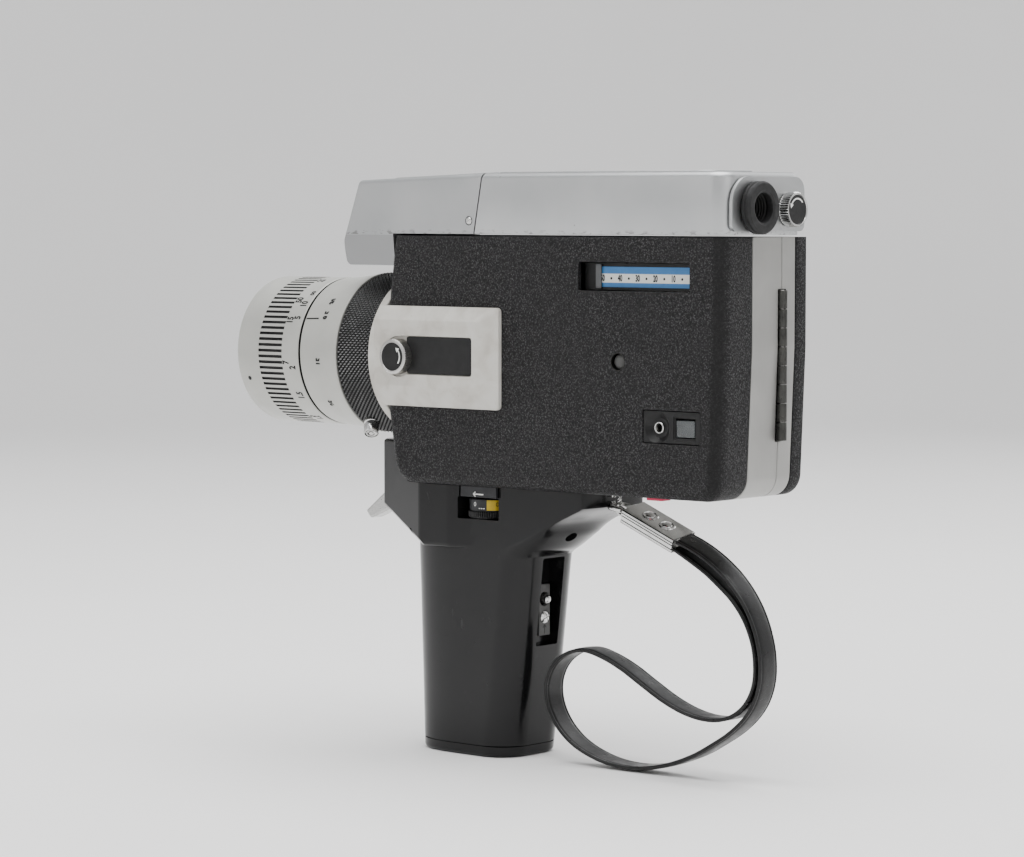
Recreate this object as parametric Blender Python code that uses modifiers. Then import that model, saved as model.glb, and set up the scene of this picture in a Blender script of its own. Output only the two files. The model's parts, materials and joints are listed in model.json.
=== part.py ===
"""Cine camera: a Super 8 reflex zoom camera on a pistol grip, with a wrist strap.

Sizes are in millimetres and become metres when a mesh is made.  +Z is up, the lens looks along -Y,
the camera's left side faces +X, and the origin is the centre of the grip's base.
"""
import math

import bmesh
import bpy
from mathutils import Matrix, Vector

MM = 0.001
GAP = 0.3                                        # clearance between touching pieces

# body
SIDE = 24.35                                     # half the body's width
FRONT_TOP, FRONT_BELLY = -24.6, -28.3            # the front edge at the top and at mid height
REAR, REAR_FOOT = 125.4, 123.2                   # the rear edge, and where it meets the underside
TOP, BOTTOM = 188.2, 98.5
COVER_WALL = 1.6
LEFT_SEAM, DOOR_SEAM, DOOR_STRIP = 7.3, -9.4, -17.2
EDGE_SOFT, EDGE_REAR = 3.0, 5.5                  # rounding of a cover's edges
FRAME_WALL = 3.0

# top housing
HOUSING_SIDE, HOUSING_TOP, HOUSING_FLOOR = 24.0, 210.4, 188.8
HOUSING_REAR, HOUSING_SEAM = 125.6, 16.0
NOSE_TIP, NOSE_FLOOR, NOSE_BREAK = -50.3, 177.3, 186.7
SKIN = 1.5

# optics
AXIS_Z = 144.35
FLANGE_R, FLANGE_FRONT, FLANGE_BACK = 29.6, 32.5, 28.9
RIM_R, RIM_FRONT, FOCUS_REAR = 27.7, 101.8, 69.9
ZOOM_FRONT, ZOOM_REAR, ZOOM_R_FRONT, ZOOM_R_REAR = 48.2, 32.9, 30.4, 29.2
EYE = (8.7, 198.2)                               # eyepiece axis, X and Z
KNOB = (-10.2, 197.6)                            # eyepiece shutter knob's axis

# grip
GRIP_HALF_X, GRIP_FOOT_Y, GRIP_TOP_Y = 17.0, 27.3, 33.2
GRIP_TOP_SHIFT, GRIP_TOP_Z, BASE_Z = 3.3, 74.0, 4.0
CELL_R, CELL_H = 7.1, 50.5                       # an AA cell

# mechanism
SHUTTER_Z, MOTOR_Z = 132.5, 121.0
GEAR_MODULE, PINION_TEETH, GEAR_TEETH = 0.575, 12, 28
HINGE_R, HINGE_LOW, HINGE_HIGH, KNUCKLES = 1.9, 118.3, 170.1, 8

# wrist strap: its centre line from the clip's upper slot round to the lower one
STRAP_WIDTH, STRAP_THICK = 10.0, 1.3
STRAP_ROUTE = [
    (2.35, 92.8, 83.2), (2.35, 98.2, 81.2), (2.35, 103.7, 78.6), (2.35, 109.3, 75.2), (2.35, 114.7, 71.0),
    (2.35, 119.6, 65.8), (2.35, 123.8, 59.6), (2.35, 126.9, 52.4), (2.35, 128.6, 44.6), (2.35, 128.5, 36.6),
    (2.35, 126.2, 29.4), (2.35, 122.0, 23.4), (2.35, 116.2, 18.2), (2.4, 109.2, 13.6), (2.5, 99.5, 8.2),
    (2.7, 88.0, 3.9), (3.0, 76.5, 1.6), (3.4, 65.5, 1.7), (3.9, 55.5, 3.9), (4.4, 46.6, 8.0),
    (4.8, 40.0, 14.0), (5.0, 36.2, 21.2), (5.0, 35.8, 28.6), (4.9, 39.0, 35.3), (4.6, 45.0, 39.8),
    (4.2, 52.4, 41.4), (3.7, 60.5, 39.6), (3.2, 69.0, 36.0), (2.8, 77.6, 31.2), (2.5, 86.3, 26.6),
    (2.4, 95.0, 23.3), (2.35, 103.5, 21.7), (2.35, 111.3, 22.0), (2.35, 118.0, 24.6), (2.35, 123.0, 29.2),
    (2.35, 126.0, 35.6), (2.35, 126.5, 43.2), (2.35, 125.1, 50.6), (2.35, 121.7, 58.0), (2.35, 116.9, 64.0),
    (2.35, 111.2, 68.8), (2.35, 105.3, 73.1), (2.35, 98.7, 76.9), (2.35, 91.7, 80.6),
]
CLIP_CENTRE, CLIP_TILT, CLIP_SIZE = (2.35, 80.7, 86.6), -22.4, (12.0, 24.4, 4.5)

for old in list(bpy.data.objects):
    bpy.data.objects.remove(old, do_unlink=True)
PARTS = bpy.data.collections.new("cine_camera")
CUTTERS = bpy.data.collections.new("cutters")
for group in (PARTS, CUTTERS):
    bpy.context.scene.collection.children.link(group)


def material(name, colour, roughness, metallic=0.0, alpha=1.0):
    mat = bpy.data.materials.new(name)
    mat.use_nodes = True
    shader = mat.node_tree.nodes["Principled BSDF"]
    shader.inputs["Base Color"].default_value = (*colour, 1.0)
    shader.inputs["Roughness"].default_value = roughness
    shader.inputs["Metallic"].default_value = metallic
    shader.inputs["Alpha"].default_value = alpha
    return mat


LEATHERETTE = material("leatherette", (0.022, 0.021, 0.024), 0.55)
SATIN = material("satin_alloy", (0.50, 0.51, 0.52), 0.38, 0.9)
STRIP = material("frame_alloy", (0.62, 0.61, 0.59), 0.42, 0.8)
BARREL = material("barrel_paint", (0.66, 0.66, 0.62), 0.40)
KNURL = material("black_knurl", (0.016, 0.016, 0.017), 0.45, 0.3)
CHROME = material("chrome", (0.74, 0.74, 0.73), 0.15, 1.0)
GRIP_PLASTIC = material("grip_plastic", (0.012, 0.012, 0.013), 0.22)
BLACK_PLASTIC = material("black_plastic", (0.018, 0.018, 0.019), 0.4)
RUBBER = material("rubber", (0.02, 0.02, 0.021), 0.7)
STRAP_LEATHER = material("strap_leather", (0.015, 0.015, 0.015), 0.42)
SCALE_PRINT = material("scale_print", (0.35, 0.55, 0.75), 0.5)
GREY_PLASTIC = material("grey_plastic", (0.20, 0.20, 0.20), 0.5)
GLASS = material("glass", (0.55, 0.62, 0.66), 0.05, 0.0, 0.35)
MACHINED = material("machined_metal", (0.45, 0.44, 0.42), 0.4, 0.9)
BRASS = material("brass", (0.60, 0.45, 0.20), 0.35, 1.0)
CELL_WRAP = material("cell_wrap", (0.05, 0.08, 0.16), 0.4)


def place(name, mesh, mat, where=Matrix.Identity(4), cutter=False):
    """Link a mesh as a sub-part, or as a hidden cutter."""
    obj = bpy.data.objects.new(name, mesh)
    obj.matrix_world = where
    if cutter:
        CUTTERS.objects.link(obj)
        obj.hide_render = True
        obj.display_type = "WIRE"
    else:
        mesh.materials.append(mat)
        PARTS.objects.link(obj)
    return obj


def to_mesh(name, bm):
    """A metre mesh from a bmesh worked in millimetres."""
    bmesh.ops.scale(bm, vec=(MM, MM, MM), verts=bm.verts)
    mesh = bpy.data.meshes.new(name)
    bm.to_mesh(mesh)
    bm.free()
    return mesh


def block(name, low, high, mat=None, cutter=False, spin=None):
    """A box between two corners; spin = (degrees, axis) turns it about its own centre."""
    low, high = Vector(low), Vector(high)
    bm = bmesh.new()
    bmesh.ops.create_cube(bm, size=1.0)
    bmesh.ops.scale(bm, vec=high - low, verts=bm.verts)
    where = Matrix.Translation((low + high) / 2 * MM)
    if spin:
        where = where @ Matrix.Rotation(math.radians(spin[0]), 4, spin[1])
    return place(name, to_mesh(name, bm), mat, where, cutter)


def rod(name, start, end, radius, mat=None, cutter=False, radius_end=None, segments=32):
    """A cylinder or cone from one point to another."""
    start, end = Vector(start), Vector(end)
    bm = bmesh.new()
    bmesh.ops.create_cone(bm, cap_ends=True, segments=segments, radius1=radius,
                          radius2=radius if radius_end is None else radius_end, depth=(end - start).length)
    turn = Vector((0, 0, 1)).rotation_difference(end - start).to_matrix().to_4x4()
    obj = place(name, to_mesh(name, bm), mat, Matrix.Translation((start + end) / 2 * MM) @ turn, cutter)
    smooth(obj)
    return obj


def prism(name, outline, axis, low, high, mat=None, cutter=False):
    """An outline of (a, b) points pushed along an axis: (y, z) for X, (x, z) for Y, (x, y) for Z."""
    lift = {
        "X": lambda a, b, h: (h, a, b),
        "Y": lambda a, b, h: (a, h, b),
        "Z": lambda a, b, h: (a, b, h),
    }[axis]
    bm = bmesh.new()
    face = bm.faces.new([bm.verts.new(lift(a, b, low)) for a, b in outline])
    grown = bmesh.ops.extrude_face_region(bm, geom=[face])["geom"]
    step = Vector(lift(0, 0, high)) - Vector(lift(0, 0, low))
    bmesh.ops.translate(bm, vec=step, verts=[g for g in grown if isinstance(g, bmesh.types.BMVert)])
    bmesh.ops.recalc_face_normals(bm, faces=bm.faces)
    return place(name, to_mesh(name, bm), mat, cutter=cutter)


def turned(name, profile, centre, mat, axis=(0, -1, 0), steps=40, cutter=False):
    """Turn (radius, height) points round an axis with a Screw; the outer side is listed top to bottom."""
    bm = bmesh.new()
    points = [bm.verts.new((r, 0, h)) for r, h in profile]
    pairs = list(zip(points, points[1:]))
    if profile[0][0] > 0:
        pairs.append((points[-1], points[0]))
    for pair in pairs:
        bm.edges.new(pair)
    turn = Vector((0, 0, 1)).rotation_difference(Vector(axis)).to_matrix().to_4x4()
    obj = place(name, to_mesh(name, bm), mat, Matrix.Translation(Vector(centre) * MM) @ turn, cutter)
    screw = obj.modifiers.new("turn", "SCREW")
    screw.axis = "Z"
    screw.steps = screw.render_steps = steps
    screw.use_merge_vertices = True
    screw.merge_threshold = 0.00001
    screw.use_smooth_shade = True
    return obj


def smooth(obj, degrees=35):
    obj.data.shade_smooth()
    obj.data.set_sharp_from_angle(angle=math.radians(degrees))


def bevel(obj, width, segments=2, degrees=40):
    mod = obj.modifiers.new("soft_edges", "BEVEL")
    mod.width = width * MM
    mod.segments = segments
    mod.limit_method = "ANGLE"
    mod.angle_limit = math.radians(degrees)
    return obj


def combine(obj, other, operation):
    mod = obj.modifiers.new(operation.lower(), "BOOLEAN")
    mod.operation = operation
    mod.object = other
    mod.solver = "EXACT"
    return obj


def cut(obj, *cutters):
    for cutter in cutters:
        combine(obj, cutter, "DIFFERENCE")
    return obj


def join(obj, *others):
    for other in others:
        combine(obj, other, "UNION")
    return obj


def shell(obj, thickness):
    """Give an open skin a wall on its inner side."""
    mod = obj.modifiers.new("wall", "SOLIDIFY")
    mod.thickness = thickness * MM
    mod.offset = -1
    mod.use_even_offset = True
    return obj


def rounded(points, radii, steps=4):
    """A 2-D path whose inner corners become arcs; a radius of 0 keeps the corner."""
    path = []
    for i, (corner, radius) in enumerate(zip(points, radii)):
        here = Vector(corner)
        if radius == 0:
            path.append(here)
            continue
        before = (Vector(points[i - 1]) - here).normalized()
        after = (Vector(points[(i + 1) % len(points)]) - here).normalized()
        half = before.angle(after) / 2
        reach = radius / math.tan(half)
        centre = here + (before + after).normalized() * radius / math.sin(half)
        first, last = here + before * reach - centre, here + after * reach - centre
        swing = first.angle_signed(last)
        for k in range(steps + 1):
            angle = -swing * k / steps
            path.append(centre + Matrix.Rotation(angle, 2) @ first)
    return [(p.x, p.y) for p in path]


def body_profile():
    """The body's side view as (y, z), from the top of the front down and round to the top of the rear."""
    points = [(FRONT_TOP, TOP), (-27.7, 165), (FRONT_BELLY, 126), (-23.8, BOTTOM), (REAR_FOOT, BOTTOM),
              (REAR, 150), (REAR, TOP)]
    return rounded(points, [0, 0, 0, 9, 8, 0, 0])


def inset(path, depth):
    """Shift each point of an open path to its left by its own depth."""
    shifted = []
    for i, point in enumerate(path):
        ends = path[max(i - 1, 0)], path[min(i + 1, len(path) - 1)]
        along = (Vector(ends[1]) - Vector(ends[0])).normalized()
        shifted.append(Vector(point) + Vector((-along.y, along.x)) * depth[i])
    return [(p.x, p.y) for p in shifted]


def cover_skin(name, side, seam, mat, steps=4):
    """A tray with rounded edges: side face, rim round front, foot and rear, and a flat top."""
    path = body_profile()
    soft = [EDGE_SOFT if y < 100 else EDGE_REAR for y, z in path]
    sign = 1 if side > 0 else -1
    rows = [[(seam, y, z) for y, z in path]]
    for k in range(steps + 1):
        bend = math.radians(90 * k / steps)
        moved = inset(path, [r * (1 - math.cos(bend)) for r in soft])
        row = [(side - sign * r * (1 - math.sin(bend)), y, z) for r, (y, z) in zip(soft, moved)]
        for end in (0, -1):
            row[end] = (row[end][0], row[end][1], TOP)
        rows.append(row)
    bm = bmesh.new()
    grid = [[bm.verts.new(p) for p in row] for row in rows]
    for low, high in zip(grid, grid[1:]):
        for i in range(len(path) - 1):
            bm.faces.new((low[i], low[i + 1], high[i + 1], high[i]))
    bm.faces.new(grid[-1])
    bm.faces.new([row[0] for row in grid] + [row[-1] for row in reversed(grid)])
    bmesh.ops.recalc_face_normals(bm, faces=bm.faces)
    if sum(f.normal.x * f.calc_area() for f in bm.faces) * sign < 0:
        bmesh.ops.reverse_faces(bm, faces=bm.faces)
    obj = place(name, to_mesh(name, bm), mat)
    smooth(obj)
    return shell(obj, COVER_WALL)


def frame_band(name, low, high, mat, wall=FRAME_WALL):
    """The body's outline as a closed band between two X positions."""
    path = body_profile()
    bm = bmesh.new()
    rings = [[bm.verts.new((x, y, z)) for y, z in path] for x in (low, high)]
    count = len(path)
    for i in range(count):
        j = (i + 1) % count
        bm.faces.new((rings[0][i], rings[0][j], rings[1][j], rings[1][i]))
    bmesh.ops.recalc_face_normals(bm, faces=bm.faces)
    if bm.faces[0].normal.y > 0:
        bmesh.ops.reverse_faces(bm, faces=bm.faces)
    return shell(place(name, to_mesh(name, bm), mat), wall)


# ---------------------------------------------------------------- body casing

def build_casing():
    left = cover_skin("left_cover", SIDE, LEFT_SEAM + GAP / 2, LEATHERETTE)
    chassis = frame_band("chassis", DOOR_SEAM + GAP / 2, LEFT_SEAM - GAP / 2, STRIP)
    neck_hole = rod("neck_hole", (0, -35, AXIS_Z), (0, -18, AXIS_Z), 9.0, cutter=True)
    hinge_room = rod("hinge_room", (DOOR_SEAM, REAR, HINGE_LOW - 0.4), (DOOR_SEAM, REAR, HINGE_HIGH + 0.4),
                     HINGE_R + 0.4, cutter=True)
    body_pocket = block("body_leaf_pocket", (DOOR_SEAM - 0.3, 114.6, HINGE_LOW - 0.4),
                        (DOOR_SEAM + 1.4, REAR + 1, HINGE_HIGH + 0.4), cutter=True)
    cut(chassis, neck_hole, hinge_room, body_pocket)
    cut(left, neck_hole,
        block("counter_hole", (20, 62.7, 169.6), (30, 111.5, 179.5), cutter=True),
        rod("check_hole", (20, 80.4, 145.3), (30, 80.4, 145.3), 3.1, cutter=True),
        block("socket_hole", (20, 91.3, 117.8), (30, 116.4, 129.3), cutter=True),
        rod("cell_hole", (20, -17.4, 144.6), (30, -17.4, 144.6), 6.3, cutter=True))

    mechanism = block("mechanism_plate", (5.2, 20, 105.0), (6.8, 117.5, 184.6), MACHINED)
    cut(mechanism, rod("spindle_hole", (0, 74, 141), (12, 74, 141), 2.6, cutter=True))
    bevel(mechanism, 0.6, 1)
    gate = block("film_gate", (-8.8, 17.2, 122), (4.9, 18.8, 168), CHROME)
    cut(gate, block("aperture", (-2.9, 15, AXIS_Z - 2.1), (2.9, 21, AXIS_Z + 2.1), cutter=True))
    bevel(gate, 0.3, 1)


# ---------------------------------------------------------------- film door

def knuckle_profile(side):
    """A leaf rolled round the hinge pin, as (x, y); side is -1 for the door and 1 for the body."""
    outer, inner, start, end, steps = HINGE_R, HINGE_R - 0.9, -90, 215, 14
    arc = [math.radians(start + (end - start) * k / steps) for k in range(steps + 1)]
    ring = [(math.cos(a) * outer, math.sin(a) * outer) for a in arc]
    ring += [(math.cos(a) * inner, math.sin(a) * inner) for a in reversed(arc)]
    near, far, reach = 0.35, 1.05, -3.4
    points = [(near, reach), (far, reach), (far, -math.sqrt(outer ** 2 - far ** 2))]
    points += [(x, y) for x, y in ring if not (-0.01 <= x < far and y < -0.5)]
    points.append((near, -math.sqrt(inner ** 2 - near ** 2)))
    return [(DOOR_SEAM + side * x, REAR + y) for x, y in points]


def build_hinge():
    length = (HINGE_HIGH - HINGE_LOW) / KNUCKLES
    for side, name, first in ((1, "hinge_leaf_body", 0), (-1, "hinge_leaf_door", 1)):
        near, far = sorted((DOOR_SEAM + side * 0.3, DOOR_SEAM + side * 1.1))
        leaf = block(name, (near, 115, HINGE_LOW), (far, REAR - 2.6, HINGE_HIGH), MACHINED)
        for k in range(first, KNUCKLES, 2):
            low = HINGE_LOW + k * length
            knuckle = prism(f"{name}_knuckle_{k}", knuckle_profile(side), "Z",
                            low + GAP / 2, low + length - GAP / 2, cutter=True)
            join(leaf, knuckle)
    rod("hinge_pin", (DOOR_SEAM, REAR, HINGE_LOW), (DOOR_SEAM, REAR, HINGE_HIGH), 0.75, CHROME, segments=16)


def build_door():
    frame = frame_band("film_door_frame", DOOR_STRIP + GAP / 2, DOOR_SEAM - GAP / 2, STRIP)
    room = bpy.data.objects["hinge_room"]
    pocket = block("door_leaf_pocket", (DOOR_SEAM - 1.4, 114.6, HINGE_LOW - 0.4),
                   (DOOR_SEAM + 0.3, REAR + 1, HINGE_HIGH + 0.4), cutter=True)
    cut(frame, room, pocket)
    cover_skin("film_door_cover", -SIDE, DOOR_STRIP - GAP / 2, LEATHERETTE)
    latch = block("door_latch", (-26.4, -9, 138), (-SIDE - GAP, -1, 151), SATIN)
    bevel(latch, 0.8, 2)
    build_hinge()


# ---------------------------------------------------------------- top housing and finder

def build_housing():
    side, top, floor = HOUSING_SIDE, HOUSING_TOP, HOUSING_FLOOR
    front_seam_low, front_seam_high = HOUSING_SEAM - 2.1, HOUSING_SEAM + 1.9
    plan = rounded([(side, 0), (side, HOUSING_REAR), (-side, HOUSING_REAR), (-side, 0)], [0, 6, 6, 0], 5)
    rear = prism("housing_rear", plan, "Z", floor, top, SATIN)
    bevel(rear, 2.0, 3, 60)
    inner_plan = rounded([(side - SKIN, -2), (side - SKIN, HOUSING_REAR - SKIN),
                          (-side + SKIN, HOUSING_REAR - SKIN), (-side + SKIN, -2)], [0, 4.5, 4.5, 0], 5)
    cut(rear, prism("rear_hollow", inner_plan, "Z", floor - 5, top - SKIN, cutter=True),
        prism("rear_front_trim", [(-10, floor - 10), (front_seam_low, floor - 10), (front_seam_low, floor),
                                  (front_seam_high, top), (front_seam_high, top + 10), (-10, top + 10)],
              "X", -40, 40, cutter=True),
        rod("eyepiece_hole", (EYE[0], 115, EYE[1]), (EYE[0], 140, EYE[1]), 8.0, cutter=True),
        rod("knob_hole", (KNOB[0], 115, KNOB[1]), (KNOB[0], 140, KNOB[1]), 2.0, cutter=True))

    outline = [(front_seam_high - GAP, top), (-42.5, 208.3), (NOSE_TIP, NOSE_BREAK),
               (NOSE_TIP, NOSE_FLOOR), (-28.9, NOSE_FLOOR), (-28.9, floor), (front_seam_low - GAP, floor)]
    front = prism("housing_front", outline, "X", -side, side, SATIN)
    bevel(front, 1.2, 2, 30)
    hollow = [(30, top - SKIN), (-41.4, 208.3 - SKIN), (NOSE_TIP + SKIN, NOSE_BREAK - 0.3),
              (NOSE_TIP + SKIN, NOSE_FLOOR + SKIN), (-28.9 - SKIN, NOSE_FLOOR + SKIN),
              (-28.9 - SKIN, floor - 1.2), (-27, floor - 3), (30, floor - 3)]
    cut(front, prism("front_hollow", hollow, "X", -side + SKIN, side - SKIN, cutter=True),
        block("meter_hole", (-20, -60, 179.6), (20, -47, 186.0), cutter=True))
    bezel = block("meter_bezel", (-19.7, -50.6, 179.9), (19.7, -48.0, 185.7), BLACK_PLASTIC)
    cut(bezel, block("bezel_hole", (-18.2, -60, 181.0), (18.2, -40, 184.6), cutter=True))
    block("meter_window", (-17.9, -49.9, 181.3), (17.9, -48.6, 184.3), GLASS)
    rod("meter_cell", (0, -45.8, 182.8), (0, -42.5, 182.8), 3.6, MACHINED)

    rod("housing_screw", (side + GAP, 11.8, 193.6), (side + GAP + 0.9, 11.8, 193.6), 1.7,
        CHROME, segments=16)
    end_low, end_high = HOUSING_REAR + GAP, HOUSING_REAR + GAP + 1.2
    plate_outline = rounded([(-21.3, 190.2), (21.3, 190.2), (21.3, 208.8), (-21.3, 208.8)], [2, 2, 4, 4], 3)
    end_plate = prism("rear_end_plate", plate_outline, "Y", end_low, end_high, SATIN)
    cut(end_plate, bpy.data.objects["eyepiece_hole"], bpy.data.objects["knob_hole"])


def build_finder():
    x, z = EYE
    tube = [(6.4, 112), (6.4, 0), (5.4, 0), (5.4, 112)]
    turned("finder_tube", tube, (x, 0, z), BLACK_PLASTIC, axis=(0, 1, 0), steps=24)
    barrel = [(7.6, 128.4), (7.6, 113), (5.7, 113), (5.7, 128.4)]
    turned("eyepiece_barrel", barrel, (x, 0, z), BLACK_PLASTIC, axis=(0, 1, 0), steps=32)
    cup = [(8.4, 131.4), (9.0, 130.6), (9.0, 128.2), (7.9, 127.5), (7.9, 128.7), (5.2, 128.7),
           (5.2, 130.8), (5.8, 131.4)]
    turned("eyecup", cup, (x, 0, z), RUBBER, axis=(0, 1, 0), steps=36)
    lens = [(0, 120.6), (3, 120.3), (5.3, 119.4), (5.3, 117.4), (3, 116.9), (0, 116.7)]
    turned("eyepiece_lens", lens, (x, 0, z), GLASS, axis=(0, 1, 0), steps=24)
    kx, kz = KNOB
    knob = [(0, 131.4), (5.6, 131.4), (6.0, 131.0), (6.0, 127.5), (1.7, 127.5), (1.7, 114.2), (0, 114.2)]
    turned("eyepiece_shutter_knob", knob, (kx, 0, kz), CHROME, axis=(0, 1, 0), steps=36)
    open_x = x - 15.0
    blade = block("eyepiece_shutter", (open_x - 7.2, 112.5, z - 7.0), (open_x + 6.6, 112.9, z + 7.0),
                  MACHINED)
    bevel(blade, 0.15, 1)


# ---------------------------------------------------------------- left side fittings

def build_left_side():
    bracket_low, bracket_mid, plateau = SIDE + GAP, SIDE + 1.7, 29.3
    rear_edge, crest = 27.5, 20.0
    base = (126.5, 162.8)
    ridge = (134.0, 157.8)
    front = -FLANGE_BACK - 0.5
    bm = bmesh.new()
    rows = [(bracket_low, rear_edge, *base), (bracket_mid, rear_edge, *base), (plateau, crest, *ridge)]
    rings = [[bm.verts.new((x, y, z)) for y, z in ((front, z0), (yr, z0), (yr, z1), (front, z1))]
             for x, yr, z0, z1 in rows]
    for low, high in zip(rings, rings[1:]):
        for i in range(4):
            bm.faces.new((low[i], low[(i + 1) % 4], high[(i + 1) % 4], high[i]))
    bm.faces.new(rings[0])
    bm.faces.new(rings[-1])
    bmesh.ops.recalc_face_normals(bm, faces=bm.faces)
    cheek = place("cheek_form", to_mesh("cheek_form", bm), None, cutter=True)
    flange = [(FLANGE_R, FLANGE_FRONT), (FLANGE_R, FLANGE_BACK), (8.6, FLANGE_BACK), (8.6, 20.0),
              (7.4, 20.0), (7.4, FLANGE_FRONT)]
    mount = turned("lens_mount", flange, (0, 0, AXIS_Z), BARREL, steps=48)
    join(mount, cheek)
    cut(mount, block("plate_recess", (28.5, -11.0, 138.2), (40, 17.9, 152.2), cutter=True),
        rod("cap_recess", (28.5, -17.4, 144.6), (40, -17.4, 144.6), 7.4, cutter=True),
        rod("cell_well", (20, -17.4, 144.6), (40, -17.4, 144.6), 6.3, cutter=True))
    block("name_plate", (28.8, -9.4, 138.5), (29.2, 17.6, 151.9), BLACK_PLASTIC)
    cap = [(0, 33.0), (6.0, 33.0), (6.5, 32.6), (6.5, 29.6), (5.9, 29.6), (5.9, 26.6), (0, 26.6)]
    turned("cell_cap", cap, (0, -17.4, 144.6), CHROME, axis=(1, 0, 0), steps=36)
    rod("meter_cell_battery", (20.6, -17.4, 144.6), (26.2, -17.4, 144.6), 5.8, MACHINED)

    block("counter_scale", (20.4, 63.2, 169.9), (21.0, 111.2, 179.2), SCALE_PRINT)
    block("counter_pointer", (21.4, 68.6, 170.4), (21.9, 71.0, 178.8), GREY_PLASTIC)
    button = [(0, 23.7), (2.4, 23.7), (2.7, 23.4), (2.7, 20.6), (1.2, 20.6), (1.2, 16.0), (0, 16.0)]
    turned("check_button", button, (0, 80.4, 145.3), GREY_PLASTIC, axis=(1, 0, 0), steps=24)
    panel = block("socket_panel", (22.2, 91.6, 118.1), (SIDE - 0.3, 116.1, 129.0), BLACK_PLASTIC)
    cut(panel, rod("jack_hole", (20, 97.6, 123.2), (30, 97.6, 123.2), 2.3, cutter=True, segments=20),
        rod("jack_dish", (23.2, 97.6, 123.2), (26.2, 97.6, 123.2), 3.4, cutter=True, radius_end=5.6),
        block("lamp_hole", (20, 105.4, 120.1), (30, 113.7, 126.3), cutter=True))
    jack = [(2.0, 23.2), (2.0, 14.5), (1.25, 14.5), (1.25, 23.2)]
    turned("remote_jack", jack, (0, 97.6, 123.2), CHROME, axis=(1, 0, 0), steps=20)
    bevel(block("battery_lamp", (20.8, 105.7, 120.4), (23.9, 113.4, 126.0), GLASS), 0.4, 1)


# ---------------------------------------------------------------- lens

def build_lens():
    centre = (0, 0, AXIS_Z)
    tube = [(24.9, 95.2), (24.9, 69.5), (27.6, 69.5), (28.0, 61), (29.3, 52), (29.9, 48.6), (25.6, 48.6),
            (25.6, 32.9), (22.5, 32.9), (22.5, 95.2)]
    turned("lens_barrel", tube, centre, BARREL, steps=48)
    ring = [(26.6, RIM_FRONT), (27.2, RIM_FRONT), (RIM_R, RIM_FRONT - 0.5), (RIM_R, FOCUS_REAR),
            (25.3, FOCUS_REAR), (25.3, 96.0), (24.7, 96.0), (24.7, 98.6)]
    turned("focus_ring", ring, centre, BARREL, steps=48)
    front_glass = [(0, 99.4), (8, 99.0), (16, 97.8), (24.3, 95.8), (22.1, 95.6), (22.1, 92.5),
                   (12, 91.0), (0, 90.4)]
    turned("front_lens", front_glass, centre, GLASS, steps=40)
    zoom = [(30.0, ZOOM_FRONT), (ZOOM_R_FRONT, ZOOM_FRONT - 0.4), (ZOOM_R_REAR, ZOOM_REAR + 0.3),
            (28.9, ZOOM_REAR), (26.0, ZOOM_REAR), (26.0, ZOOM_FRONT)]
    turned("zoom_ring", zoom, centre, KNURL, steps=48)
    angle = math.radians(-57)
    outward = Vector((math.cos(angle), 0, math.sin(angle)))
    foot = Vector((0, -42.6, AXIS_Z)) + outward * 30.5
    rod("zoom_lever", foot, foot + outward * 4.8, 2.4, CHROME, segments=24)
    variator = [(0, 62.6), (8, 62.2), (12.4, 61.4), (12.4, 56.6), (8, 57.4), (0, 58.0)]
    turned("variator_lens", variator, centre, GLASS, steps=28)
    relay = [(0, 27.4), (4, 27.1), (7.0, 26.2), (7.0, 22.4), (4, 21.7), (0, 21.4)]
    turned("relay_lens", relay, centre, GLASS, steps=24)
    block("beam_splitter", (-4, -15.5, AXIS_Z - 4), (4, -7.5, AXIS_Z + 4), GLASS)


# ---------------------------------------------------------------- mechanism

def gear_outline(teeth, phase):
    """Straight-sided thin teeth, so a meshed pair keeps backlash at every angle."""
    pitch_r = GEAR_MODULE * teeth / 2
    tip, root = pitch_r + 0.75 * GEAR_MODULE, pitch_r - 1.15 * GEAR_MODULE
    outline = []
    for k in range(teeth):
        middle = 2 * math.pi * (k + phase) / teeth
        for offset, radius in ((-0.17, root), (-0.09, tip), (0.09, tip), (0.17, root)):
            angle = middle + offset * 2 * math.pi / teeth
            outline.append((radius * math.cos(angle), radius * math.sin(angle)))
    return outline


def build_mechanism():
    motor = [(0, 21.0), (9.0, 21.0), (9.4, 20.6), (9.4, -5.6), (9.0, -6.0), (0, -6.0)]
    turned("motor", motor, (0, 0, MOTOR_Z), MACHINED, steps=32)
    low, high = 7.4, 10.2
    pinion_outline = [(x, z + MOTOR_Z) for x, z in gear_outline(PINION_TEETH, 3)]
    pinion = prism("motor_pinion", pinion_outline, "Y", low, high, BRASS)
    join(pinion, rod("pinion_hub", (0, 6.4, MOTOR_Z), (0, 8.4, MOTOR_Z), 1.2, cutter=True, segments=16))
    gear_phase = GEAR_TEETH * 0.75 + 0.5
    wheel_outline = [(x, z + SHUTTER_Z) for x, z in gear_outline(GEAR_TEETH, gear_phase)]
    wheel = prism("shutter_disc", wheel_outline, "Y", low, high - GAP, MACHINED)
    sector = [(15.4, 135 - 210 * k / 20) for k in range(21)]
    sector += [(4.0, -75 - 150 * k / 5) for k in range(6)]
    blade = [(r * math.cos(math.radians(a)), SHUTTER_Z + r * math.sin(math.radians(a))) for r, a in sector]
    join(wheel, prism("shutter_blade", blade, "Y", 13.6, 14.3, cutter=True),
         rod("shutter_shaft", (0, 9.0, SHUTTER_Z), (0, 14.0, SHUTTER_Z), 2.4, cutter=True, segments=20))
    spindle = [(0, 12.6), (6.0, 12.6), (6.0, 11.0), (2.2, 11.0), (2.2, 3.6), (1.6, 3.0), (0, 3.0)]
    turned("takeup_spindle", spindle, (0, 74, 141), BLACK_PLASTIC, axis=(1, 0, 0), steps=24)


# ---------------------------------------------------------------- grip

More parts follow.
